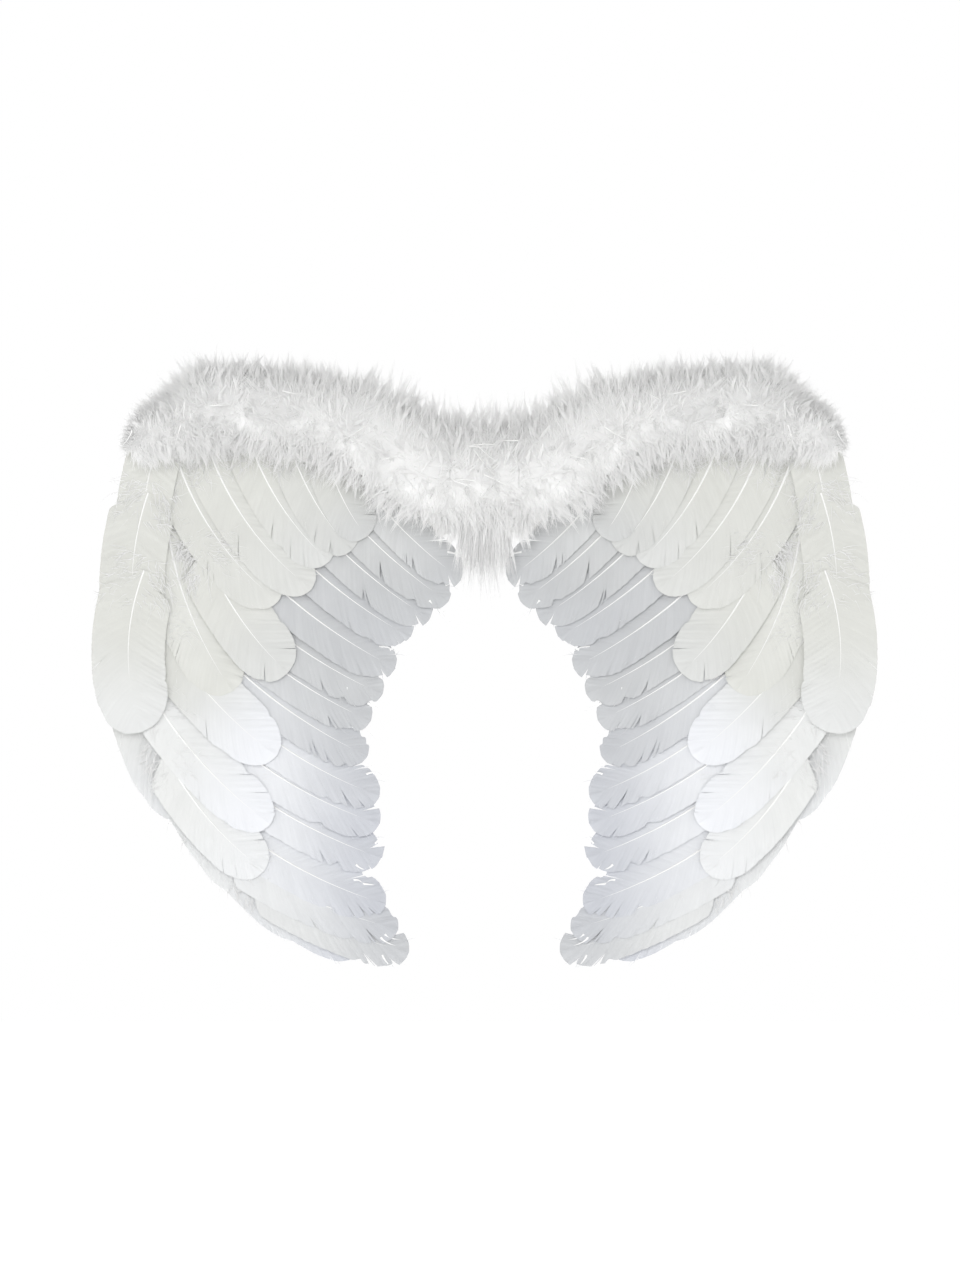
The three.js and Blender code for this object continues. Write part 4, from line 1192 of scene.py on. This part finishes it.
def vane_material(cream, cream_painted_shade, cool, cool_painted_shade):
    """Soft web of barbs: ribs along the barbs and streaks between locks, toned by the mesh's grey and painted
    shade and by its cool.
    """
    nodes = Nodes("feather_vane")
    ribs = nodes.waves(nodes.uv(620, 25), "X", 1.2)
    streaks = nodes.noise(nodes.uv(520, 40))
    clouds = nodes.noise(nodes.object(38))
    # The mesh's grey moves the colour towards the shade colours: painted shade at the inner tips, the vane's
    # own grey elsewhere
    share = nodes.attribute("dusk") + (streaks - 0.5) * 0.22 + (clouds - 0.5) * 0.3
    colour = nodes.blend(nodes.attribute("cool"), nodes.blend(share, cream, cream_painted_shade),
                         nodes.blend(share, cool, cool_painted_shade))
    height = ribs * 0.35 + streaks * 0.65
    return nodes.finish(colour, streaks * 0.2 + 0.5, height, 0.0003, 0.35, Sheen_Weight=0.1,
                        Sheen_Roughness=0.4, Specular_IOR_Level=0.35)


def quill_material(colour):
    """Horn of the shaft: glossy, with faint lines along it."""
    nodes = Nodes("quill_horn")
    lines = nodes.noise(nodes.uv(120, 2600))
    tone = nodes.blend(lines, colour, toned(colour, 0.93))
    return nodes.finish(tone, lines * 0.15 + 0.25, lines, 0.0001, 0.3, Coat_Weight=0.25, Coat_Roughness=0.2)


def fluff_material(white, dusk):
    """Down: matt, with a soft sheen, greyer by the mesh's grey and painted shade and in drifting clouds."""
    nodes = Nodes("marabou_down")
    clouds = nodes.noise(nodes.object(45))
    # The mesh's grey is painted shade along the down's top edge and in the tuft, and its own grey elsewhere
    share = nodes.attribute("dusk") + (clouds - 0.5) * 0.35
    return nodes.finish(nodes.blend(share, white, dusk), 0.85 - clouds * 0.1, clouds, 0.0004, 0.2,
                        Sheen_Weight=0.5, Sheen_Roughness=0.5, Specular_IOR_Level=0.2)


def felt_material(colour):
    """Pressed wool: crossed fibres and soft lumps."""
    nodes = Nodes("white_felt")
    fibres = nodes.noise(nodes.object(1500), 4.0)
    lumps = nodes.noise(nodes.object(160), 3.0)
    tone = nodes.blend(lumps * 0.6 + fibres * 0.4, toned(colour, 0.86), toned(colour, 1.08))
    return nodes.finish(tone, 0.98 - lumps * 0.1, fibres * 0.6 + lumps * 0.4, 0.0006, 0.6,
                        Sheen_Weight=0.35, Sheen_Roughness=0.6, Specular_IOR_Level=0.2)


def thread_material(colour):
    """Twisted sewing thread, darker in the grooves of its twist: painted shade."""
    nodes = Nodes("white_thread")
    twist = nodes.waves(nodes.uv(900, 900), "DIAGONAL")
    # Painted shade: the colour follows the twist's bump, darker in its grooves
    return nodes.finish(nodes.blend(twist, toned(colour, 0.9), colour), 0.6, twist, 0.0001, 0.5,
                        Sheen_Weight=0.1)


def elastic_material(colour):
    """Knitted elastic: rows of small loops across each rib, darker where the knit is low: painted shade in
    its hollows.
    """
    nodes = Nodes("white_elastic")
    loops = nodes.waves(nodes.uv(380, 60), "X", 1.5)
    height = loops * 0.6 + nodes.waves(nodes.uv(1, 420), "Y") * 0.4
    # Painted shade: the colour follows the bump, darker in the hollows between loops and ribs
    tone = nodes.blend(height, toned(colour, 0.82), colour)
    return nodes.finish(tone, 0.75 - loops * 0.1, height, 0.0003, 0.5, Sheen_Weight=0.2)


def floor_material(colour):
    """Pale paper with faint clouds, which glows a little so that it stays near white."""
    nodes = Nodes("pale_floor")
    grain = nodes.noise(nodes.object(6))
    return nodes.finish(nodes.blend(grain, colour, toned(colour, 0.99)), 0.9, grain, 0.001, 0.05,
                        Emission_Color=(1, 1, 1, 1), Emission_Strength=0.6)


def material(name, maker, *colours):
    """The material of this name, made once from its colours."""
    return bpy.data.materials.get(name) or maker(*(tuple(colour) for colour in colours))


def horn_and_down(settings):
    """The materials of the quills and of the down."""
    return [material("quill_horn", quill_material, settings.feathers.quill_colour),
            material("marabou_down", fluff_material, settings.fluff.white, settings.fluff.dusk)]


def feather_materials(settings):
    """The materials of a feather: vane, quill and down."""
    tones = [getattr(settings.feathers, key) for key in ("cream", "cream_painted_shade", "cool", "cool_painted_shade")]
    return [material("feather_vane", vane_material, *tones), *horn_and_down(settings)]


# Pieces in their places
def place(obj, slot, *nodes):
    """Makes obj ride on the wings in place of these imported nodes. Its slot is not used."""
    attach(obj, "root")
    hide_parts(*nodes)
    return obj


def both_wings(form, name, nodes, slot, materials):
    """The form on the right wing and its mirror image on the left one."""
    for word, side in SIDES.items():
        place(form.piece(f"{name}_{word}", materials, side), slot, f"{nodes}_{word}")


def dress_row(settings, row, slot, wear, down, curls, seed):
    """Replaces each feather of a row, on both wings."""
    tilt = row_tilt(row)
    for k, feather in enumerate(row):
        depth = blade_depth(feather, tilt, f"{feather.name}_right")
        form = feather_form([(feather, depth, tilt)], wear, down, curls, False, seed + k, settings.feathers)
        both_wings(form, f"{feather.name}_feather", feather.name, slot, feather_materials(settings))


def dress_cluster(settings, cluster, node, slot, wear, down, seed):
    """Replaces one cluster of fused feathers, on both wings."""
    step = CLUSTER_RISE * FEATHER_THICKNESS
    depth = min(blade_depth(f, 0, f"{node}_right", k * step) for k, f in enumerate(cluster))
    blades = [(feather, depth + k * step, 0) for k, feather in enumerate(cluster)]
    form = feather_form(blades, wear, down, 0, True, seed, settings.feathers)
    both_wings(form, f"{node}_vanes", node, slot, feather_materials(settings))


# Operators
class WINGS_OT_flight_feathers(bpy.types.Operator):
    """Makes the secondaries and inner primaries, whose tips scallop the inner edge"""
    bl_idname = "angel_wings.flight_feathers"
    bl_label = "Flight feathers"

    def execute(self, context):
        settings = context.scene.angel_wings
        dress_row(settings, FLIGHT_ROW, "cool_feather", wear=1.3, down=20, curls=2, seed=100)
        return {"FINISHED"}


class WINGS_OT_outer_primaries(bpy.types.Operator):
    """Makes the two broad white primaries of the lower outer wing"""
    bl_idname = "angel_wings.outer_primaries"
    bl_label = "Outer primaries"

    def execute(self, context):
        settings = context.scene.angel_wings
        dress_row(settings, OUTER_ROW, "cool_feather", wear=0.35, down=120, curls=0, seed=200)
        return {"FINISHED"}


class WINGS_OT_coverts(bpy.types.Operator):
    """Makes the cream feathers of the middle and the upper row"""
    bl_idname = "angel_wings.coverts"
    bl_label = "Coverts"

    def execute(self, context):
        settings = context.scene.angel_wings
        dress_row(settings, MID_ROW, "cream_feather", wear=0.35, down=300, curls=0, seed=300)
        dress_row(settings, UPPER_ROW, "cream_feather", wear=0.35, down=220, curls=0, seed=400)
        return {"FINISHED"}


class WINGS_OT_edge_feathers(bpy.types.Operator):
    """Makes the clusters at the outer edge and behind the lower rim"""
    bl_idname = "angel_wings.edge_feathers"
    bl_label = "Edge and rim feathers"

    def execute(self, context):
        settings = context.scene.angel_wings
        dress_cluster(settings, RIM_CLUSTER, "rim_feathers", "cool_feather", wear=0.3, down=60, seed=500)
        dress_cluster(settings, EDGE_CLUSTER, "edge_coverts", "cream_feather", wear=0.3, down=130, seed=600)
        return {"FINISHED"}


class WINGS_OT_marabou(bpy.types.Operator):
    """Makes the fluffy trim of both wings and the piece between them with its tuft"""
    bl_idname = "angel_wings.marabou"
    bl_label = "Marabou trim"

    def execute(self, context):
        settings = context.scene.angel_wings
        horn, down = horn_and_down(settings)
        rng = np.random.default_rng(11)
        back_range = trim_back_range()
        out, drop, height, lean, lift = TRIM_STATIONS.T
        x = out * HALF_SPAN
        x[0] = CENTRE_HALF_WIDTH + CLEARANCE
        half = height * TRIM_HALF_HEIGHT
        rings = trim_rings(x, -drop * WING_HEIGHT, half, np.radians(lean), lift, back_range)
        form = Form()
        trim_run(form, rings, 1.0, WING_STRAYS, settings.fluff, rng)
        both_wings(form, "marabou_fluff", "marabou", "fluff", [down, horn])

        x = np.linspace(-1, 1, 9) * CENTRE_HALF_WIDTH
        rings = trim_rings(x, 0 * x, np.full(len(x), half[0]), 0 * x, 0 * x, back_range)
        form = Form()
        trim_run(form, rings, settings.fluff.centre_share, CENTRE_STRAYS, settings.fluff, rng)
        tuft(form, half[0], back_range, settings.fluff, rng)
        place(form.piece("marabou_centre_fluff", [down, horn]), "fluff", "marabou_centre")
        return {"FINISHED"}


class WINGS_OT_backing(bpy.types.Operator):
    """Makes the felt panels that the feathers are glued to, the pad and the elastic arm loops"""
    bl_idname = "angel_wings.backing"
    bl_label = "Felt backing and loops"

    def execute(self, context):
        settings = context.scene.angel_wings.back
        felt = material("white_felt", felt_material, settings.felt)
        thread = material("white_thread", thread_material, settings.elastic)
        elastic = material("white_elastic", elastic_material, settings.elastic)
        form, area = panel_form(settings.stitch)
        for word, side in SIDES.items():
            obj = place(form.piece(f"wing_panel_felt_{word}", [felt, thread], side), "felt",
                        f"wing_panel_{word}")
        pad = place(pad_form(settings.stitch).piece("back_pad_felt", [felt, thread]), "felt", "back_pad")
        both_wings(loop_form(settings.stitch), "arm_loop_elastic", "arm_loop", "elastic", [elastic, thread])
        return {"FINISHED"}


class WINGS_OT_stage(bpy.types.Operator):
    """Makes the pale floor, the soft lights and the camera"""
    bl_idname = "angel_wings.stage"
    bl_label = "Stage"

    def execute(self, context):
        settings = context.scene.angel_wings.stage
        scene = context.scene
        scene.view_settings.view_transform = "Standard"
        y, x = np.meshgrid((-FLOOR_REACH, FLOOR_REACH), (-FLOOR_REACH, FLOOR_REACH), indexing="ij")
        top = np.stack([x, y, np.full(x.shape, settings.floor_height)], -1)
        form = Form()
        form.add(np.stack([top, top - (0, 0, FLOOR_THICKNESS)]), sheet_faces(*x.shape))
        form.piece("floor", [material("pale_floor", floor_material, settings.floor)])
        studio_world(scene)
        for name, (location, size, power) in LIGHTS.items():
            area_light(name, location, size, power)
        camera = bpy.data.objects.new("camera", bpy.data.cameras.new("camera"))
        scene.collection.objects.link(camera)
        scene.camera = camera
        camera.location = (AIM_X, -settings.distance - FEATHER_PLANE, AIM_Z)
        camera.rotation_euler = (math.radians(90), 0, 0)
        camera.data.sensor_width = SENSOR
        camera.data.lens = SENSOR * settings.distance / VIEW_HEIGHT
        return {"FINISHED"}


def studio_world(scene):
    """A white room: pure white behind the object, and a softer white for its light."""
    world = bpy.data.worlds.new("white_room")
    scene.world = world
    world.use_nodes = True
    tree = world.node_tree
    background = tree.nodes["Background"]
    path = tree.nodes.new("ShaderNodeLightPath")
    strength = tree.nodes.new("ShaderNodeMapRange")
    strength.inputs["To Min"].default_value = WORLD_LIGHT
    strength.inputs["To Max"].default_value = 1.0
    tree.links.new(path.outputs["Is Camera Ray"], strength.inputs["Value"])
    tree.links.new(strength.outputs["Result"], background.inputs["Strength"])
    background.inputs["Color"].default_value = (1, 1, 1, 1)


def area_light(name, location, size, power):
    """A square soft light that looks at the middle of the wings."""
    light = bpy.data.lights.new(name, "AREA")
    light.size = size
    light.energy = power
    obj = bpy.data.objects.new(name, light)
    obj.location = location
    aim = np.array([0, 0, AIM_Z]) - location
    pitch = math.atan2(math.hypot(aim[0], aim[1]), -aim[2])
    obj.rotation_euler = (pitch, 0, math.atan2(-aim[0], aim[1]))
    bpy.context.scene.collection.objects.link(obj)


class WINGS_PT_panel(bpy.types.Panel):
    """Lists the wings' pieces and their sizes and colours"""
    bl_label = "Feather Angel Wings"
    bl_space_type = "VIEW_3D"
    bl_region_type = "UI"
    bl_category = "Wings"

    def draw(self, context):
        """A button for each operator and a box for each group of settings."""
        for operator in OPERATORS:
            self.layout.operator(operator.bl_idname)
        settings = context.scene.angel_wings
        for group in (settings.feathers, settings.fluff, settings.back, settings.stage):
            box = self.layout.box()
            for key in group.bl_rna.properties.keys():
                if key not in ("rna_type", "name"):
                    box.prop(group, key)


OPERATORS = (WINGS_OT_stage, WINGS_OT_backing, WINGS_OT_flight_feathers, WINGS_OT_outer_primaries,
             WINGS_OT_coverts, WINGS_OT_edge_feathers, WINGS_OT_marabou)
CLASSES = (FeatherSettings, FluffSettings, BackSettings, StageSettings, AngelWings, *OPERATORS,
           WINGS_PT_panel)


def register():
    """Adds the classes, and the settings to the scene."""
    for cls in CLASSES:
        bpy.utils.register_class(cls)
    bpy.types.Scene.angel_wings = PointerProperty(type=AngelWings)


def unregister():
    """Takes the settings and the classes away again."""
    del bpy.types.Scene.angel_wings
    for cls in reversed(CLASSES):
        bpy.utils.unregister_class(cls)


def main():
    """Makes the stage and all pieces."""
    register()
    bpy.ops.angel_wings.stage()
    bpy.ops.angel_wings.backing()
    bpy.ops.angel_wings.flight_feathers()
    bpy.ops.angel_wings.outer_primaries()
    bpy.ops.angel_wings.coverts()
    bpy.ops.angel_wings.edge_feathers()
    bpy.ops.angel_wings.marabou()


if __name__ == "__main__":
    main()
